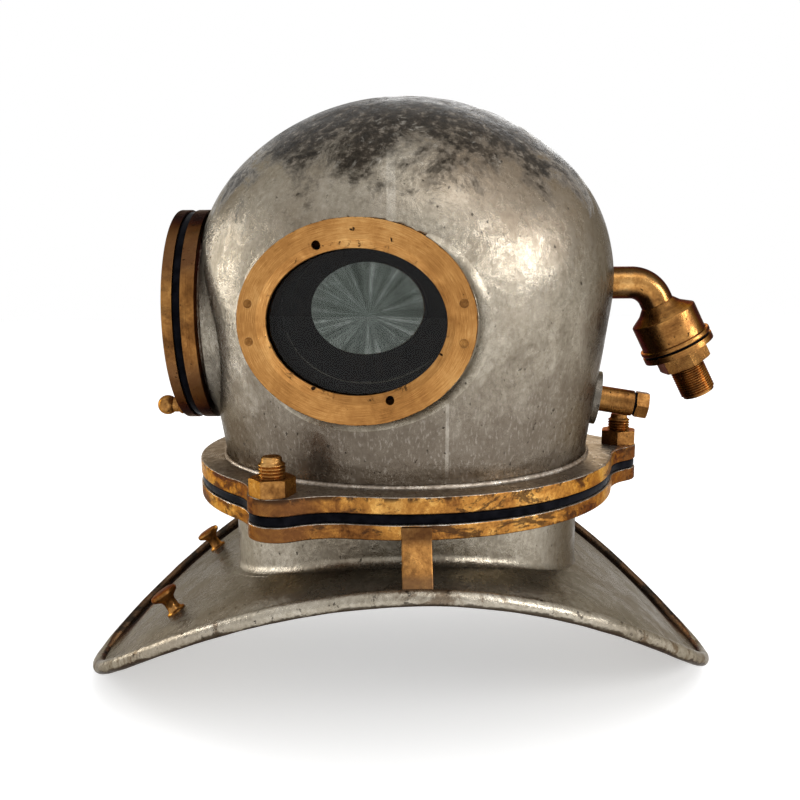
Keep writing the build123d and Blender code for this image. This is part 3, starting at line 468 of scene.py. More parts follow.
def flange_finish(name):
    """Cast flange: worn tin on its level faces and inside, bare and stained brass on its rim."""
    finish, tree, shader, place = new_finish(name)
    blots = grains(tree, place, 64, 9, 0.74, warp=0.3)
    clouds = grains(tree, place, 17, 5, 0.6)
    flecks = grains(tree, place, 420, 5, 0.7)
    grey = tones(
        tree,
        weighted(tree, (blots, 0.55), (flecks, 0.45)),
        (0.38, (0.130, 0.104, 0.082)),
        (0.47, (0.275, 0.228, 0.182)),
        (0.54, (0.390, 0.340, 0.282)),
        (0.63, (0.620, 0.580, 0.520)),
    )
    golden = tones(
        tree,
        weighted(tree, (clouds, 0.45), (blots, 0.40), (flecks, 0.15)),
        (0.39, (0.055, 0.020, 0.007)),
        (0.46, (0.190, 0.075, 0.019)),
        (0.53, (0.400, 0.180, 0.038)),
        (0.62, (0.740, 0.420, 0.115)),
    )
    flat = node(tree, "ShaderNodeVectorMath", {0: place, 1: (1, 1, 0)}, operation="MULTIPLY")
    reach = node(tree, "ShaderNodeVectorMath", {0: flat.outputs[0]}, operation="LENGTH").outputs["Value"]
    lug = spread(tree, weighted(tree, (reach, 1.0), (clouds, 0.02)), 0.162, 0.172, 0, 0.72)
    golden = over(tree, lug, golden, (0.125, 0.050, 0.018))
    stain = grains(tree, place, 30, 8, 0.78, stretch=(1, 1, 2.2), warp=0.4)
    golden = over(tree, spread(tree, stain, 0.500, 0.560, 0, 0.85), golden, (0.045, 0.022, 0.011))
    top_edge = spread(tree, along_axis(tree, place, upward), joint_z + 0.0125, joint_z + 0.0158)
    gnawed = spread(tree, grains(tree, place, 44, 7, 0.8, warp=0.5), 0.475, 0.515, 0, 0.9)
    golden = over(tree, times(tree, gnawed, top_edge), golden, (0.034, 0.018, 0.010))
    level = along_axis(tree, facing(tree), upward)
    worn = spread(tree, weighted(tree, (level, 1.0), (blots, 1.5)), 1.25, 1.40)
    inside = spread(tree, reach, 0.146, 0.144)
    colour = over(tree, sum_of(tree, "MAXIMUM", worn, inside), golden, grey)
    rough = spread(tree, blots, 0.38, 0.62, 0.44, 0.24)
    surfaced(tree, shader, colour, rough, 0.92, (0.46, 0.36, 0.26))
    relief(tree, shader, (clouds, 0.0012), (blots, 0.0007), (flecks, 0.0001))
    return finish


def flange_reach(turn, inset):
    """Distance from the neck axis to the flange's edge: a circle with a round lug at each bolt."""
    off = abs((turn - math.pi / 2 + math.pi / 3) % (math.tau / 3) - math.pi / 3)
    main, lug, hollow = flange_radius - inset, lug_radius - inset, lug_hollow + inset
    span = (main + hollow) ** 2 + lug_centre**2 - (lug + hollow) ** 2
    meet = math.acos(span / (2 * (main + hollow) * lug_centre))
    if off >= meet:
        return main
    middle = Vector(((main + hollow) * math.cos(meet), (main + hollow) * math.sin(meet)))
    joins = middle + (Vector((lug_centre, 0)) - middle) * hollow / (hollow + lug)
    if off > math.atan2(joins.y, joins.x):
        along = middle.x * math.cos(off) + middle.y * math.sin(off)
        return along - math.sqrt(along**2 - middle.length_squared + hollow**2)
    along = lug_centre * math.cos(off)
    return along + math.sqrt(along**2 - lug_centre**2 + lug**2)


def opened(piece, depth, *cuts):
    """The piece with oval openings of one depth cut into it."""
    for wide, high, centre, axis, side in cuts:
        bpy.ops.mesh.primitive_cylinder_add(vertices=96, radius=1, depth=1)
        plug = bpy.context.object
        turned = Matrix((side * wide, axis.cross(side) * high, axis * depth)).transposed().to_4x4()
        plug.data.transform(Matrix.Translation(centre + axis * depth / 2) @ turned)
        applied(piece, "BOOLEAN", operation="DIFFERENCE", object=plug, solver="EXACT")
        bpy.data.objects.remove(plug)
    return piece


def bolt_foot(bolt):
    """Where a bolt's axis meets the table."""
    turn = math.radians(bolt_turns[bolt])
    return Vector((math.cos(turn), math.sin(turn), 0)) * bolt_circle


def flange_ring(name, rows, inset, hole):
    """Flange or gasket, drilled for the studs, from rows that run round its section.

    A row's distance is in from the edge, or out from the neck axis where it is on the bore.
    """

    def place(u, v):
        turn = u * math.tau
        kind, distance, height = rows[round(v * (len(rows) - 1))]
        radius = distance if kind == "bore" else flange_reach(turn, inset) - distance
        return Vector((radius * math.cos(turn), radius * math.sin(turn), height))

    piece = shaped_grid(name, 420, len(rows) - 1, place)
    feet = [bolt_foot(bolt) + upward * 0.13 for bolt in bolt_turns]
    opened(piece, 0.05, *[(hole, hole, foot, upward, across) for foot in feet])
    bpy.ops.object.shade_smooth_by_angle(angle=math.radians(50))
    return applied(piece, "WEIGHTED_NORMAL", keep_sharp=True)


def flange_rows(bore, bottom, top, ease, lip=()):
    """Section of a flange from its bore along the bottom, up its eased edge and back over the top."""
    soft = ease * 0.3
    edge = (
        (ease * 3, bottom), (ease, bottom), (soft, bottom + soft), (0, bottom + ease),
        (0, top - ease), (soft, top - soft), (ease, top), (ease * 3, top),
    )
    rows = [("bore", bore, bottom), *(("edge", *row) for row in edge)]
    rows += [("bore", *row) for row in lip or ((bore, top),)]
    return rows + [("bore", bore, bottom)]


cast_flange = flange_finish("cast_flange")
brass_fitting = aged_brass("fitting_brass", dark_cover=0.4)
foot_lip = (
    (foot_radius + 0.0023, flange_top), (foot_radius + 0.0022, flange_top + 0.0013),
    (foot_radius + 0.0011, flange_top + 0.0025), (foot_radius, flange_top + 0.0025),
)
lower_rows = flange_rows(neck_radius, flange_bottom, joint_z, flange_ease)
lower_flange = flange_ring("lower_flange", lower_rows, 0, stud_grip)
fitted(lower_flange, "corselet", "brass", [cast_flange], "corselet_flange")
upper_rows = flange_rows(foot_radius, gasket_top, flange_top, flange_ease, foot_lip)
upper_flange = flange_ring("upper_flange", upper_rows, 0, stud_clearance)
fitted(upper_flange, "bonnet", "brass", [cast_flange], "bonnet_flange")

# Gaskets and seals: black rubber gone dull, with edges rounded where the metal faces squeeze it.
# The neck gasket is cut to the flanges' outline and holed for the studs.

sides = {"left": 1, "right": -1}


def rubber_finish(name):
    """Black rubber, nearly dull, with a faint grain."""
    finish, tree, shader, place = new_finish(name)
    grain = grains(tree, place, 130, 5, 0.6)
    colour = tones(tree, grain, (0.35, (0.002, 0.002, 0.003)), (0.75, (0.008, 0.008, 0.011)))
    surfaced(tree, shader, colour, spread(tree, grain, 0.35, 0.7, 0.28, 0.48))
    shader.inputs["Specular IOR Level"].default_value = 0.01
    relief(tree, shader, (grain, 0.0003))
    return finish


def dressed(body, slot, finish, sharp=32, **widths):
    """CAD solids with their edges eased by these widths, finished and fitted where they are."""
    for solid, width in widths.items():
        fitted(eased(solid, width, sharp), body, slot, [finish], solid)


black_rubber = rubber_finish("black_rubber")
gasket_rows = flange_rows(neck_bore, joint_z, gasket_top, gasket_ease)
gasket = flange_ring("flange_gasket", gasket_rows, gasket_inset, stud_clearance)
fitted(gasket, "corselet", "rubber", [black_rubber], "neck_gasket")
dressed("faceplate_seat", "rubber", black_rubber, faceplate_gasket=0.0012)
dressed("bonnet", "rubber", black_rubber, valve_gasket=0.0008, phone_seal=0.0003)
dressed("faceplate", "rubber", black_rubber, faceplate_glass_seal=0)
dressed("bonnet", "rubber", black_rubber, left_window_seals=0, right_window_seals=0)

# Studs and nuts: brass studs screwed into the lower flange, and hexagon nuts drawn down on the upper.
# Each nut's corners are turned off, and the threads are worn bright on their crests.

brass_bolt = aged_brass("bolt_brass", light=0.9, dark_cover=0.35, rough=(0.40, 0.22))
dressed("corselet", "brass", brass_bolt, bonnet_studs=0.0002)
for bolt, nut_turn in (("front_left", -21), ("front_right", 14), ("rear", -18)):
    nut = eased(f"nut_{bolt}", 0.0005, sharp=24)
    foot = bolt_foot(bolt)
    tightened = Matrix.Rotation(math.radians(nut_turn), 4, "Z")
    nut.data.transform(Matrix.Translation(foot) @ tightened @ Matrix.Translation(-foot))
    fitted(nut, f"nut_{bolt}", "brass", [brass_bolt], f"nut_{bolt}")

# Shoulder straps and chest studs: brass strips from the flange to the plate, and mushroom-headed studs.
# The straps are bent cold and riveted, and the studs are soldered square to the front lobe.

chest_stud_x = 0.068
chest_stud_y = -0.162


def mushroom(name, side):
    """Stud turned in one piece: a small foot, a shank, and a domed head that tapers down to it."""
    foot = Vector((side * chest_stud_x, chest_stud_y, arch_height(chest_stud_y) + sheet_rise))
    slope = (arch_height(chest_stud_y + 0.002) - arch_height(chest_stud_y - 0.002)) / 0.004
    axis = Vector((0, -slope, 1)).normalized()
    rows = (
        (0, -0.0008), (0.0068, -0.0008), (0.0066, 0.0010), (0.0050, 0.0018),
        (0.0043, 0.0034), (0.0043, 0.0086), (0.0050, 0.0106), (0.0090, 0.0134),
        (0.0096, 0.0150), (0.0090, 0.0166), (0.0068, 0.0174), (0, 0.0175),
    )

    def place(u, v):
        radius, height = rows[round(v * (len(rows) - 1))]
        out = across * math.cos(u * math.tau) + axis.cross(across) * math.sin(u * math.tau)
        return foot + out * radius + axis * height

    piece = shaped_grid(name, 48, len(rows) - 1, place)
    bpy.ops.object.shade_smooth_by_angle(angle=math.radians(40))
    return piece


def strap_tone_bands(tree, place, colour, blots):
    """Brown at its top beside the flange, brown again towards its foot and nearly black where it meets the
    plate, lighter between.
    """
    height = weighted(tree, (along_axis(tree, place, upward), 1.0), (blots, 0.01))
    colour = over(tree, spread(tree, height, 0.139, 0.145, 0, 0.75), colour, (0.062, 0.026, 0.011))
    colour = over(tree, spread(tree, height, 0.130, 0.124, 0, 0.7), colour, (0.105, 0.058, 0.030))
    return over(tree, spread(tree, height, 0.1195, 0.1180, 0, 0.8), colour, (0.030, 0.016, 0.010))


brass_strap = aged_brass("strap_brass", light=1.05, wear_and_shade=strap_tone_bands)
for name, side in sides.items():
    dressed("corselet", "brass", brass_strap, sharp=20, **{f"side_bracket_{name}": 0.0006})
    stud = mushroom(f"mushroom_stud_{name}", side)
    fitted(stud, "corselet", "brass", [brass_fitting], f"chest_stud_{name}")

# Bonnet dome: spun and beaten copper, tinned outside, near black inside as painted shade, with openings for
# its fittings.
# Its crown is sooty, with a painted dark reflection over it, and its foot is soldered into the upper
# flange.

widest_z = 0.2864
bonnet_radius = 0.150
crown_rise = 0.1284
side_radius = 0.113
barrel_radius = 0.110
barrel_slope = math.radians(8.6)
foot_top = flange_top + 0.0025
dome_start = 0.1532
dome_wall = 0.002
dome_swell = 0.0045
face_z = flange_top + 0.1001
face_opening = 0.0720
window_z = flange_top + 0.0997
window_turn = math.radians(12.85)
window_wide = 0.0708
window_high = 0.0590
elbow_z = flange_top + 0.1215
elbow_radius = 0.0119
phone_opening = 0.0093
exhaust_z = flange_top + 0.070
exhaust_turn = math.radians(40)
exhaust_opening = 0.026
cut_start = 0.07
cut_depth = 0.12

side_centre = bonnet_radius - side_radius
top_radius = (side_centre**2 + crown_rise**2 - side_radius**2) / (2 * (crown_rise - side_radius))
crown_turn = math.atan2(top_radius - crown_rise, side_centre)
flank_drop = widest_z - foot_top
curves = flank_drop * math.tan(barrel_slope) - (bonnet_radius - foot_radius)
curves /= 1 / math.cos(barrel_slope) - 1
foot_curve = curves - barrel_radius


def dome_radius(z):
    """Outside radius of the bonnet at a height."""
    rise = z - widest_z
    if rise >= 0:
        if rise <= side_radius * math.sin(crown_turn):
            return side_centre + math.sqrt(side_radius**2 - rise**2)
        fall = rise - crown_rise + top_radius
        return math.sqrt(max(top_radius**2 - fall**2, 0))
    drop = -rise
    bend = barrel_radius * math.sin(barrel_slope)
    if drop <= bend:
        return bonnet_radius - barrel_radius + math.sqrt(barrel_radius**2 - drop**2)
    left = flank_drop - drop
    turn_in = foot_curve * math.sin(barrel_slope)
    if left <= 0:
        return foot_radius
    if left <= turn_in:
        return foot_radius + foot_curve - math.sqrt(foot_curve**2 - left**2)
    start = bonnet_radius - barrel_radius * (1 - math.cos(barrel_slope))
    return start - (drop - bend) * math.tan(barrel_slope)


def dome_point(u, v):
    """Point on the outside of the bonnet: v 0 at the foot and 1 at the top."""
    turn = u * math.tau
    if v < 0.5:
        z = dome_start + (widest_z - dome_start) * v * 2
    else:
        z = widest_z + crown_rise * math.sin((v - 0.5) * math.pi)
    radius = dome_radius(min(z, widest_z + crown_rise))
    point = Vector((radius * math.cos(turn), radius * math.sin(turn), z))
    if z > foot_top + 0.004:
        point += Vector((point.x, point.y, 0)) * dome_swell * noise.noise(point * 13)
    return point


def window_axes(side):
    """Outward axis and level side axis of a window, left +1 or right -1."""
    outward = Vector((side * math.cos(window_turn), -math.sin(window_turn), 0))
    return outward, Vector((side * math.sin(window_turn), math.cos(window_turn), 0))


def either_way(tree, level):
    """A level without its sign."""
    return sum_of(tree, "ABSOLUTE", level, 0.0)


def dome_wear_and_shade(tree, place, colour, mottle, shader):
    """Sooty crown with a painted dark reflection and chalk flecks, a brown patch, a foot darkened as a
    painted reflection, painted shade towards the rear, and two pale seams.
    """
    spot = node(tree, "ShaderNodeSeparateXYZ", {0: place}).outputs
    patch = node(tree, "ShaderNodeVectorMath", {0: place, 1: (0.105, 0.07, 0.352)}, operation="DISTANCE")
    patch = weighted(tree, (patch.outputs["Value"], 1.0), (mottle, 0.05))
    colour = over(tree, spread(tree, patch, 0.110, 0.055, 0, 0.6), colour, (0.185, 0.138, 0.096))
    # Painted reflection: the foot darkened as if it mirrored a dark room below.
    foot = spread(tree, weighted(tree, (spot["Z"], 1.0), (mottle, 0.10)), 0.318, 0.240, 0, 0.80)
    colour = over(tree, foot, colour, (0.100, 0.078, 0.059))
    # Painted shade towards the rear, where the dome turns away.
    rear = spread(tree, weighted(tree, (spot["Y"], 1.0), (mottle, 0.05)), 0.120, 0.165, 0, 0.7)
    colour = over(tree, rear, colour, (0.088, 0.069, 0.054))
    hatch = spread(tree, grains(tree, place, 700, 3, 0.6, stretch=(1, 1, 0.35)), 0.54, 0.66, 0, 0.35)
    colour = over(tree, times(tree, hatch, foot), colour, (0.42, 0.38, 0.33))
    # Soot on the crown, with a painted dark reflection laid into the same colour.
    blotch = grains(tree, place, 27, 10, 0.76, warp=0.4)
    crown = spread(tree, weighted(tree, (spot["Z"], 1.0), (blotch, 0.22)), 0.442, 0.484, 0, 0.96)
    soot_and_dark_reflection = tones(
        tree,
        grains(tree, place, 150, 8, 0.74),
        (0.41, (0.009, 0.007, 0.005)),
        (0.55, (0.034, 0.027, 0.020)),
        (0.67, (0.210, 0.180, 0.145)),
    )
    colour = over(tree, crown, colour, soot_and_dark_reflection)
    chalk = spread(tree, grains(tree, place, 100, 9, 0.78, warp=0.4), 0.570, 0.64, 0, 0.5)
    near_crown = spread(tree, spot["Z"], 0.340, 0.362)
    colour = over(tree, times(tree, chalk, near_crown), colour, (0.36, 0.335, 0.29))
    broken = spread(tree, mottle, 0.38, 0.60, 0.08, 0.34)
    left_side = spread(tree, spot["X"], 0, 0.02)
    for middle, low, high, half in ((-0.0104, 0.318, 0.357, 0.0030), (0.0215, 0.170, 0.226, 0.0012)):
        seam = spread(tree, either_way(tree, sum_of(tree, "SUBTRACT", spot["Y"], middle)), half, half * 0.7)
        above_low = spread(tree, spot["Z"], low - 0.004, low + 0.004)
        below_high = spread(tree, spot["Z"], high + 0.006, high - 0.006)
        for limit in (broken, left_side, above_low, below_high):
            seam = times(tree, seam, limit)
        colour = over(tree, seam, colour, (0.54, 0.50, 0.43))
    tree.links.new(spread(tree, crown, 0.0, 0.8, 0.9, 0.05), shader.inputs["Metallic"])
    tree.links.new(spread(tree, crown, 0.0, 0.8, 0.5, 0.02), shader.inputs["Specular IOR Level"])
    return colour


tin_dome = tinned("tinned_dome", grime=0.4, wear_and_shade=dome_wear_and_shade)
# The lining is painted near black as shade for the dim inside of the bonnet.
shaded_dark_lining = aged_brass("shaded_dark_lining", light=0.10, dark_cover=0.9, rough=(0.8, 0.6))
inlet_slope = math.radians(63)
inlet_axis = Vector((0, math.cos(inlet_slope), -math.sin(inlet_slope)))
phone_turn = math.radians(9)
phone_slope = math.radians(8.5)
phone_out = 0.1436
phone_heading = Vector((math.sin(phone_turn), math.cos(phone_turn), 0))
phone_side = Vector((math.cos(phone_turn), -math.sin(phone_turn), 0))
phone_axis = phone_heading * math.cos(phone_slope) - Vector((0, 0, math.sin(phone_slope)))
phone_start = phone_heading * phone_out + Vector((0, 0, flange_top + 0.0378))
exhaust_axis = Vector((-math.cos(exhaust_turn), math.sin(exhaust_turn), 0))
dome = shaped_grid("bonnet_dome", 256, 144, dome_point)
dome.data.materials.append(tin_dome)
dome.data.materials.append(shaded_dark_lining)
applied(dome, "SOLIDIFY", thickness=dome_wall, offset=-1, material_offset=1)
openings = [
    (face_opening, face_opening, face_z, forward, across),
    *[(window_wide, window_high, window_z, *window_axes(side)) for side in sides.values()],
    (elbow_radius, elbow_radius, elbow_z, -forward, across),
]
cuts = [(wide, high, axis * cut_start + upward * z, axis, side) for wide, high, z, axis, side in openings]
cuts.append((phone_opening, phone_opening, phone_start - phone_axis * cut_start, phone_axis, phone_side))
exhaust_cut = exhaust_axis * cut_start + upward * exhaust_z
cuts.append((exhaust_opening, exhaust_opening, exhaust_cut, exhaust_axis, upward.cross(exhaust_axis)))
opened(dome, cut_depth, *cuts)
bpy.ops.object.shade_smooth_by_angle(angle=math.radians(35))
fitted(dome, "bonnet", "tinned_copper", [], "bonnet_shell")

# Solder flares: the tinned necks in which the windows, faceplate and inlet meet the dome.
# Each is wiped solder, polished by handling, and swells smoothly into the dome.

solder_wall = 0.0015


def flare_shade_and_specks(tree, place, colour, mottle, shader):
    """Painted shade on the lower half of the front collar, and dark specks on its front."""
    low = weighted(tree, (along_axis(tree, place, upward), 1.0), (mottle, 0.05))
    low = spread(tree, low, face_z + 0.012, face_z - 0.012, 0, 0.6)
    at_front = spread(tree, along_axis(tree, place, -forward), -0.118, -0.126)
    # Painted shade below the axis of the front collar.
    colour = over(tree, times(tree, low, at_front), colour, (0.085, 0.074, 0.062))
    speck = spread(tree, grains(tree, place, 260, 6, 0.75, warp=0.6), 0.60, 0.66, 0, 0.7)
    return over(tree, times(tree, speck, at_front), colour, (0.030, 0.024, 0.018))


tin_flare = tinned("wiped_solder", grime=0.25, light=1.02, wear_and_shade=flare_shade_and_specks)


def dome_depth(point, axis):
    """How far out along a level axis the dome's skin lies from a point."""
    radius = dome_radius(point.z)
    flat = Vector((point.x, point.y))
    heading = Vector((axis.x, axis.y)).normalized()
    sideways = flat - heading * flat.dot(heading)
    return math.sqrt(max(radius**2 - sideways.length_squared, 0)) - flat.dot(heading)


def flare(name, wide, high, z, axis, side, front, skirt):
    """Ring from a fitting's edge, at its front, back to the dome a skirt's width outside it."""
    centre = upward * z
    rise = axis.cross(side)

    def place(u, v):
        turn = -u * math.tau
        level, tall = math.cos(turn), math.sin(turn)
        toe = centre + side * level * (wide + skirt) + rise * tall * (high + skirt)
        edge = centre + side * level * wide + rise * tall * high
        back = dome_depth(edge, axis)
        start, end = edge + axis * front, toe + axis * (dome_depth(toe, axis) - 0.0006)
        bend = edge + axis * back + (toe - edge) * 0.10
        if back > front:
            bend = start.lerp(end, 0.5)
        return start * (1 - v) ** 2 + bend * 2 * v * (1 - v) + end * v**2

    piece = shaped_grid(name, 192, 14, place)
    applied(piece, "SOLIDIFY", thickness=solder_wall, offset=-1)
    return fitted(piece, "bonnet", "tinned_copper", [tin_flare])


for name, side in sides.items():
    oval = window_wide, window_high, window_z
    flare(f"{name}_window_flare", *oval, *window_axes(side), front=0.1415, skirt=0.010)
flare("faceplate_flare", face_opening, face_opening, face_z, forward, across, front=0.1368, skirt=0.012)
flare("elbow_flare", elbow_radius, elbow_radius, elbow_z, -forward, -across, front=0.1515, skirt=0.005)

# Front window: a tinned collar, a threaded seat ring, and the faceplate that screws into it.
# The rings are turned brass, with a painted reflection: golden at the height of the glass, dark above and
# below it.


def face_painted_reflection(tree, place, colour, blots):
    """Painted reflection: brass golden at the height of the glass, going brown and then black above and
    below it.
    """
    height = along_axis(tree, place, upward)
    off = either_way(tree, sum_of(tree, "SUBTRACT", height, face_z))
    off = weighted(tree, (off, 1.0), (blots, 0.03))
    colour = over(tree, spread(tree, off, 0.030, 0.056, 0, 0.85), colour, (0.090, 0.040, 0.019))
    return over(tree, spread(tree, off, 0.062, 0.086, 0, 0.90), colour, (0.022, 0.014, 0.009))


brass_face = aged_brass("faceplate_brass", turned=(0, 1, 0), wear_and_shade=face_painted_reflection)
dressed("bonnet", "tinned_copper", tin_flare, front_collar=0.0005)
dressed("bonnet", "brass", brass_face, front_seat_ring=0.0008)
dressed("faceplate", "brass", brass_face, faceplate_ring=0.0009, faceplate_retainer=0.0005)
dressed("faceplate", "brass", brass_bolt, faceplate_knobs=0.0003)

# Window glasses: flat plates of thick glass, grey with age, and the right-hand one clouded.
# Each is bedded between two rubber rings.


def glass_finish(name, clouded=False):
    """Old glass, grey and faintly smeared, or clouded in rays that run out from its middle."""
    finish, tree, shader, place = new_finish(name)
    smear = grains(tree, place, 34, 6, 0.7, warp=2.0)
    tint = tones(tree, smear, (0.35, (0.21, 0.22, 0.21)), (0.65, (0.27, 0.29, 0.28)))
    if clouded:
        outward, level = window_axes(sides["right"])
        middle = outward * 0.14 + upward * (window_z - 0.006)
        high = sum_of(tree, "SUBTRACT", along_axis(tree, place, upward), middle.z)
        around = sum_of(tree, "ARCTAN2", high, along_axis(tree, place, level))
        reach = node(tree, "ShaderNodeVectorMath", {0: place, 1: middle}, operation="DISTANCE")
        inputs = {0: times(tree, around, 2.6), 1: reach.outputs["Value"]}
        track = node(tree, "ShaderNodeCombineXYZ", inputs).outputs[0]
        rays = weighted(tree, (grains(tree, track, 2.2, 6, 0.75, warp=0.3), 0.75), (smear, 0.25))
        stops = (0.42, (0.15, 0.17, 0.15)), (0.53, (0.34, 0.37, 0.34)), (0.63, (0.88, 0.90, 0.88))
        tint = tones(tree, rays, *stops)
    tree.links.new(tint, shader.inputs["Base Color"])
    shader.inputs["Roughness"].default_value = 0.004
    shader.inputs["Transmission Weight"].default_value = 1.0
    shader.inputs["IOR"].default_value = 1.25
    return finish


old_glass = glass_finish("old_glass")
clouded_glass = glass_finish("clouded_glass", clouded=True)
dressed("faceplate", "glass", old_glass, faceplate_glass=0.0004)
dressed("bonnet", "glass", old_glass, left_window_glass=0.0004)
dressed("bonnet", "glass", clouded_glass, right_window_glass=0.0004)

# Side window frames: a collar through the dome, and a flat brass bezel held by four small screws.
# The bezel's face is scratched round and round by polishing, and its edges are pitted and dark.


def bezel_finish(name, side):
    """Polished brass whose fine scratches run round the oval."""
    finish, tree, shader, place = new_finish(name)
    level = window_axes(side)[1]
    wide = sum_of(tree, "DIVIDE", along_axis(tree, place, level), window_wide)
    above = sum_of(tree, "SUBTRACT", along_axis(tree, place, upward), window_z)
    high = sum_of(tree, "DIVIDE", above, window_high)
    around = sum_of(tree, "ARCTAN2", high, wide)
    from_centre = diagonal(tree, wide, high)
    inputs = {0: times(tree, around, 5.0), 1: times(tree, from_centre, 190.0)}
    track = node(tree, "ShaderNodeCombineXYZ", inputs).outputs[0]
    scratch = grains(tree, track, 1.0, 4, 0.65)
    blots = grains(tree, place, 75, 7, 0.7, warp=0.8)
    clouds = grains(tree, place, 22, 4, 0.6, warp=0.5)
    colour = tones(
        tree,
        weighted(tree, (scratch, 0.36), (clouds, 0.42), (blots, 0.22)),
        (0.38, (0.190, 0.080, 0.022)),
        (0.46, (0.330, 0.150, 0.042)),
        (0.53, (0.450, 0.220, 0.066)),
        (0.63, (0.660, 0.390, 0.145)),
    )
    outer = spread(tree, from_centre, 0.985, 1.0, 0, 0.30)
    inner = spread(tree, from_centre, 0.790, 0.780, 0, 0.20)
    edge = weighted(tree, (grains(tree, place, 110, 8, 0.8, warp=1.0), 1.0), (outer, 1.0), (inner, 1.0))
    chipped = spread(tree, edge, 0.77, 0.83, 0, 0.8)
    colour = over(tree, chipped, colour, (0.035, 0.018, 0.008))
    pits = spread(tree, grains(tree, place, 150, 3, 0.5), 0.70, 0.74)
    colour = over(tree, pits, colour, (0.02, 0.011, 0.006))
    rough = spread(tree, scratch, 0.3, 0.7, 0.42, 0.26)
    surfaced(tree, shader, colour, rough, 0.95, (0.34, 0.25, 0.17))
    relief(tree, shader, (clouds, 0.0008), (scratch, 0.00013), (chipped, -0.0003), (pits, -0.0003))
    return finish


for name, side in sides.items():
    polished = bezel_finish(f"bezel_brass_{name}", side)
    # The window collar is given the lining's painted shade.
    dressed("bonnet", "tinned_copper", shaded_dark_lining, **{f"{name}_window_collar": 0.0004})
    dressed("bonnet", "brass", polished, sharp=24, **{f"{name}_window_bezel": 0.0005})
    dressed("bonnet", "brass", brass_fitting, **{f"{name}_window_screws": 0.0002})

# Air inlet: a brass elbow out of the rear of the dome, a non-return valve body, and the hose nipple.
# The castings have gone brown, with painted dark reflections on their flanks, and their turned rings and
# threads still shine.

inlet_across = Vector((0, math.sin(inlet_slope), math.cos(inlet_slope)))


def inlet_painted_reflection(tree, place, colour, blots):
    """Painted reflection: nearly black along its front and rear flanks, golden between them."""
    dark_reflection_mask = either_way(tree, along_axis(tree, facing(tree), inlet_across))
    dark_reflection_mask = weighted(tree, (dark_reflection_mask, 1.0), (blots, 0.5))
    return over(tree, spread(tree, dark_reflection_mask, 0.58, 1.02, 0, 0.85), colour, (0.036, 0.018, 0.008))


def elbow_painted_reflection(tree, place, colour, blots):
    """Painted reflection: nearly black on what faces up and what faces down."""
    ways = [either_way(tree, along_axis(tree, facing(tree), axis)) for axis in (upward, inlet_across)]
    dark_reflection_mask = weighted(tree, (sum_of(tree, "MAXIMUM", *ways), 1.0), (blots, 0.6))
    return over(tree, spread(tree, dark_reflection_mask, 0.62, 0.95, 0, 0.88), colour, (0.030, 0.016, 0.009))


inlet_look = {"light": 0.95, "dark_cover": 0.25, "rough": (0.34, 0.18)}
brass_inlet = aged_brass("inlet_brass", turned=tuple(inlet_axis), wear_and_shade=inlet_painted_reflection, **inlet_look)
brass_elbow = aged_brass("elbow_brass", wear_and_shade=elbow_painted_reflection, **inlet_look)
dressed("bonnet", "brass", brass_elbow, sharp=26, air_elbow=0.0007)
dressed("bonnet", "brass", brass_inlet, sharp=26, valve_body=0.0007, hose_nipple=0.0003, valve_guide=0.0007)
dressed("inlet_valve", "brass", brass_inlet, valve_disc=0.0004)

# Telephone cable entry: a tinned base on the dome, a brass socket, and a small hexagonal gland cap.
# The cap turns on the socket and squeezes a rubber ring round the cable.

phone_look = {"light": 0.8, "dark_cover": 0.3, "rough": (0.36, 0.2)}
brass_phone = aged_brass("phone_brass", turned=tuple(phone_axis), **phone_look)
dressed("bonnet", "tinned_copper", tin_neck, phone_base=0.0006)
dressed("bonnet", "brass", brass_phone, phone_socket=0.0005)
dressed("gland_cap", "brass", brass_phone, sharp=24, phone_gland_cap=0.0004)

# Exhaust valve: a brass body through the dome on the wearer's right, with a pierced cover.
# The disc's stem ends in a button that the wearer pushes with the side of the head.

dressed("bonnet", "brass", brass_fitting, exhaust_body=0.0005, exhaust_cover=0.0005)
dressed("exhaust_valve", "brass", brass_fitting, exhaust_disc=0.0005)

# Valve springs: bright wire coils that hold each valve's disc on its seat.
# Each is wound of spring wire and ground flat at its ends.


def steel_finish(name):
    """Bright drawn wire with a faint grain."""
    finish, tree, shader, place = new_finish(name)
    grain = grains(tree, place, 900, 3, 0.6)
    colour = tones(tree, grain, (0.3, (0.34, 0.33, 0.32)), (0.7, (0.62, 0.61, 0.60)))
    surfaced(tree, shader, colour, spread(tree, grain, 0.3, 0.7, 0.3, 0.22), 1.0)
    return finish


def coil(name, start, axis, length, radius, wire, turns):
    """Round wire wound as a helix from its fixed end along its axis."""
    side = Vector((1, 0, 0)) if abs(axis.x) < 0.5 else Vector((0, 0, 1))
    side = (side - axis * side.dot(axis)).normalized()
    other = axis.cross(side)

    def place(u, v):
        turn = u * turns * math.tau
        out = side * math.cos(turn) + other * math.sin(turn)
        centre = start + axis * (wire + (length - 2 * wire) * u) + out * (radius - wire)
        angle = v * math.tau
        return centre + wire * (out * math.cos(angle) + axis * math.sin(angle))

    piece = shaped_grid(name, 48 * turns, 8, place)
    bpy.ops.object.mode_set(mode="EDIT")
    bpy.ops.mesh.select_all(action="SELECT")
    bpy.ops.mesh.fill_holes(sides=8)
    bpy.ops.mesh.normals_make_consistent(inside=False)
    bpy.ops.object.mode_set(mode="OBJECT")
    return piece


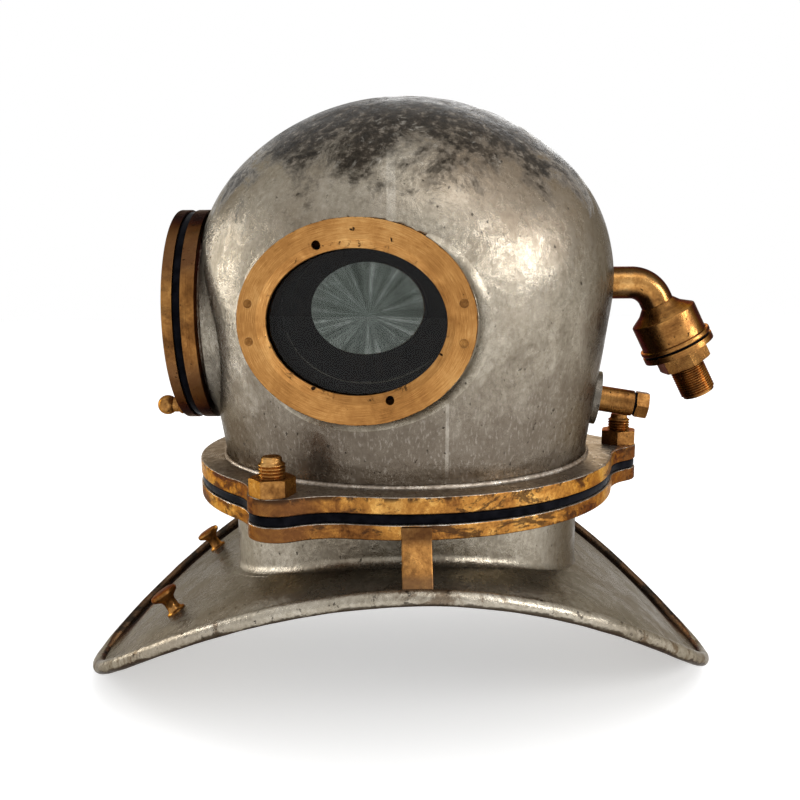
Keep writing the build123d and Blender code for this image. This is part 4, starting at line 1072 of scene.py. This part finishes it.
spring_steel = steel_finish("spring_steel")
inlet_start = Vector((0, 0.2043, flange_top + 0.0756))
valve_fixed = inlet_start - inlet_axis * 0.0146
valve_wind = {"length": 0.0087, "radius": 0.0060, "wire": 0.0005, "turns": 5}
valve_coil = coil("valve_coil", valve_fixed, inlet_axis, **valve_wind)
fitted(valve_coil, "bonnet", "spring_steel", [spring_steel], "valve_spring")
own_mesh(valve_coil)
exhaust_fixed = exhaust_axis * 0.158 + upward * exhaust_z
exhaust_wind = {"length": 0.009, "radius": 0.0062, "wire": 0.0006, "turns": 4}
exhaust_coil = coil("exhaust_coil", exhaust_fixed, -exhaust_axis, **exhaust_wind)
fitted(exhaust_coil, "bonnet", "spring_steel", [spring_steel], "exhaust_spring")
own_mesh(exhaust_coil)

# Inside the bonnet: the telephone receiver by the wearer's ear, and the hood over the air inlet.
# The receiver is black moulded composition, and the hood is bent from tinned sheet and given the lining's
# painted shade.


def composite_finish(name):
    """Black moulded composition, dull with age."""
    finish, tree, shader, place = new_finish(name)
    grain = grains(tree, place, 300, 4, 0.6)
    colour = tones(tree, grain, (0.3, (0.012, 0.010, 0.009)), (0.7, (0.045, 0.038, 0.033)))
    surfaced(tree, shader, colour, spread(tree, grain, 0.3, 0.7, 0.4, 0.55))
    relief(tree, shader, (grain, 0.0001))
    return finish


composite = composite_finish("black_composition")
dressed("bonnet", "black_composite", composite, telephone_receiver=0.0018)
dressed("bonnet", "tinned_copper", shaded_dark_lining, air_deflector=0.0004)

# Floor: a plain pale surface under the helmet, seen white all round it.
# It takes the helmet's soft shadow.

floor_lift = 0.45
room_light = 0.70


def seen_straight(tree):
    """1 for what the camera sees directly, mirrored or through glass, and 0 for what only lights it."""
    rays = node(tree, "ShaderNodeLightPath").outputs
    seen = sum_of(tree, "MAXIMUM", rays["Is Camera Ray"], rays["Is Glossy Ray"])
    return sum_of(tree, "MAXIMUM", seen, rays["Is Transmission Ray"])


bpy.ops.mesh.primitive_plane_add(size=12, location=(0, 0, -0.0002))
floor = bpy.context.object
floor.name = "floor"
floor_paint = bpy.data.materials.new("pale_floor")
floor_paint.use_nodes = True
tree = floor_paint.node_tree
shader = tree.nodes["Principled BSDF"]
shader.inputs["Base Color"].default_value = (0.86, 0.86, 0.86, 1)
shader.inputs["Roughness"].default_value = 0.9
glow = times(tree, seen_straight(tree), floor_lift)
lift = node(tree, "ShaderNodeEmission", {"Color": (1, 1, 1, 1), "Strength": glow})
both = node(tree, "ShaderNodeAddShader", {0: shader.outputs[0], 1: lift.outputs[0]})
tree.links.new(both.outputs[0], tree.nodes["Material Output"].inputs["Surface"])
floor.data.materials.append(floor_paint)
bpy.ops.object.select_all(action="DESELECT")

# Light: an even pale room and four soft boxes, at the picture's left and right, overhead and behind.
# They stand in for the windows whose reflections show on the dome.

world = bpy.data.worlds.new("pale_room")
bpy.context.scene.world = world
world.use_nodes = True
tree = world.node_tree
background = tree.nodes["Background"]
background.inputs["Color"].default_value = (1, 1, 1, 1)
tree.links.new(spread(tree, seen_straight(tree), 0, 1, room_light, 1.0), background.inputs["Strength"])

for name, spot, wide, high, power in (
    ("left_box", (-0.55, -1.65, 0.42), 0.22, 1.0, 11),
    ("right_box", (0.90, 1.45, 0.72), 0.45, 0.55, 14),
    ("over_box", (0.85, 0.55, 1.60), 0.9, 0.9, 6),
    ("back_box", (-1.60, 0.30, 1.00), 0.8, 0.8, 6),
):
    lamp = bpy.data.lights.new(name, "AREA")
    lamp.shape = "RECTANGLE"
    lamp.size = wide
    lamp.size_y = high
    lamp.energy = power
    light = bpy.data.objects.new(name, lamp)
    bpy.context.scene.collection.objects.link(light)
    light.location = spot
    light.rotation_euler = (Vector((0, 0, 0.25)) - Vector(spot)).to_track_quat("-Z", "Y").to_euler()

# Camera: at the wearer's left, a little above the flange, as the photograph was taken.

pitch = math.radians(8.33)
yaw = math.radians(-0.77)
roll = math.radians(-0.41)
ahead = Vector((-math.cos(pitch) * math.cos(yaw), -math.cos(pitch) * math.sin(yaw), -math.sin(pitch)))
level = ahead.cross(Vector((0, 0, 1))).normalized()
upright = level.cross(ahead)
right = level * math.cos(roll) + upright * math.sin(roll)
above = upright * math.cos(roll) - level * math.sin(roll)
lens = bpy.data.cameras.new("camera")
lens.sensor_width = 36
lens.lens = 35.49
camera = bpy.data.objects.new("camera", lens)
bpy.context.scene.collection.objects.link(camera)
turned = Matrix((right, above, -ahead)).transposed().to_4x4()
camera.matrix_world = Matrix.Translation((0.5922, -0.0123, 0.2847)) @ turned
bpy.context.scene.camera = camera
bpy.context.scene.view_settings.view_transform = "Standard"
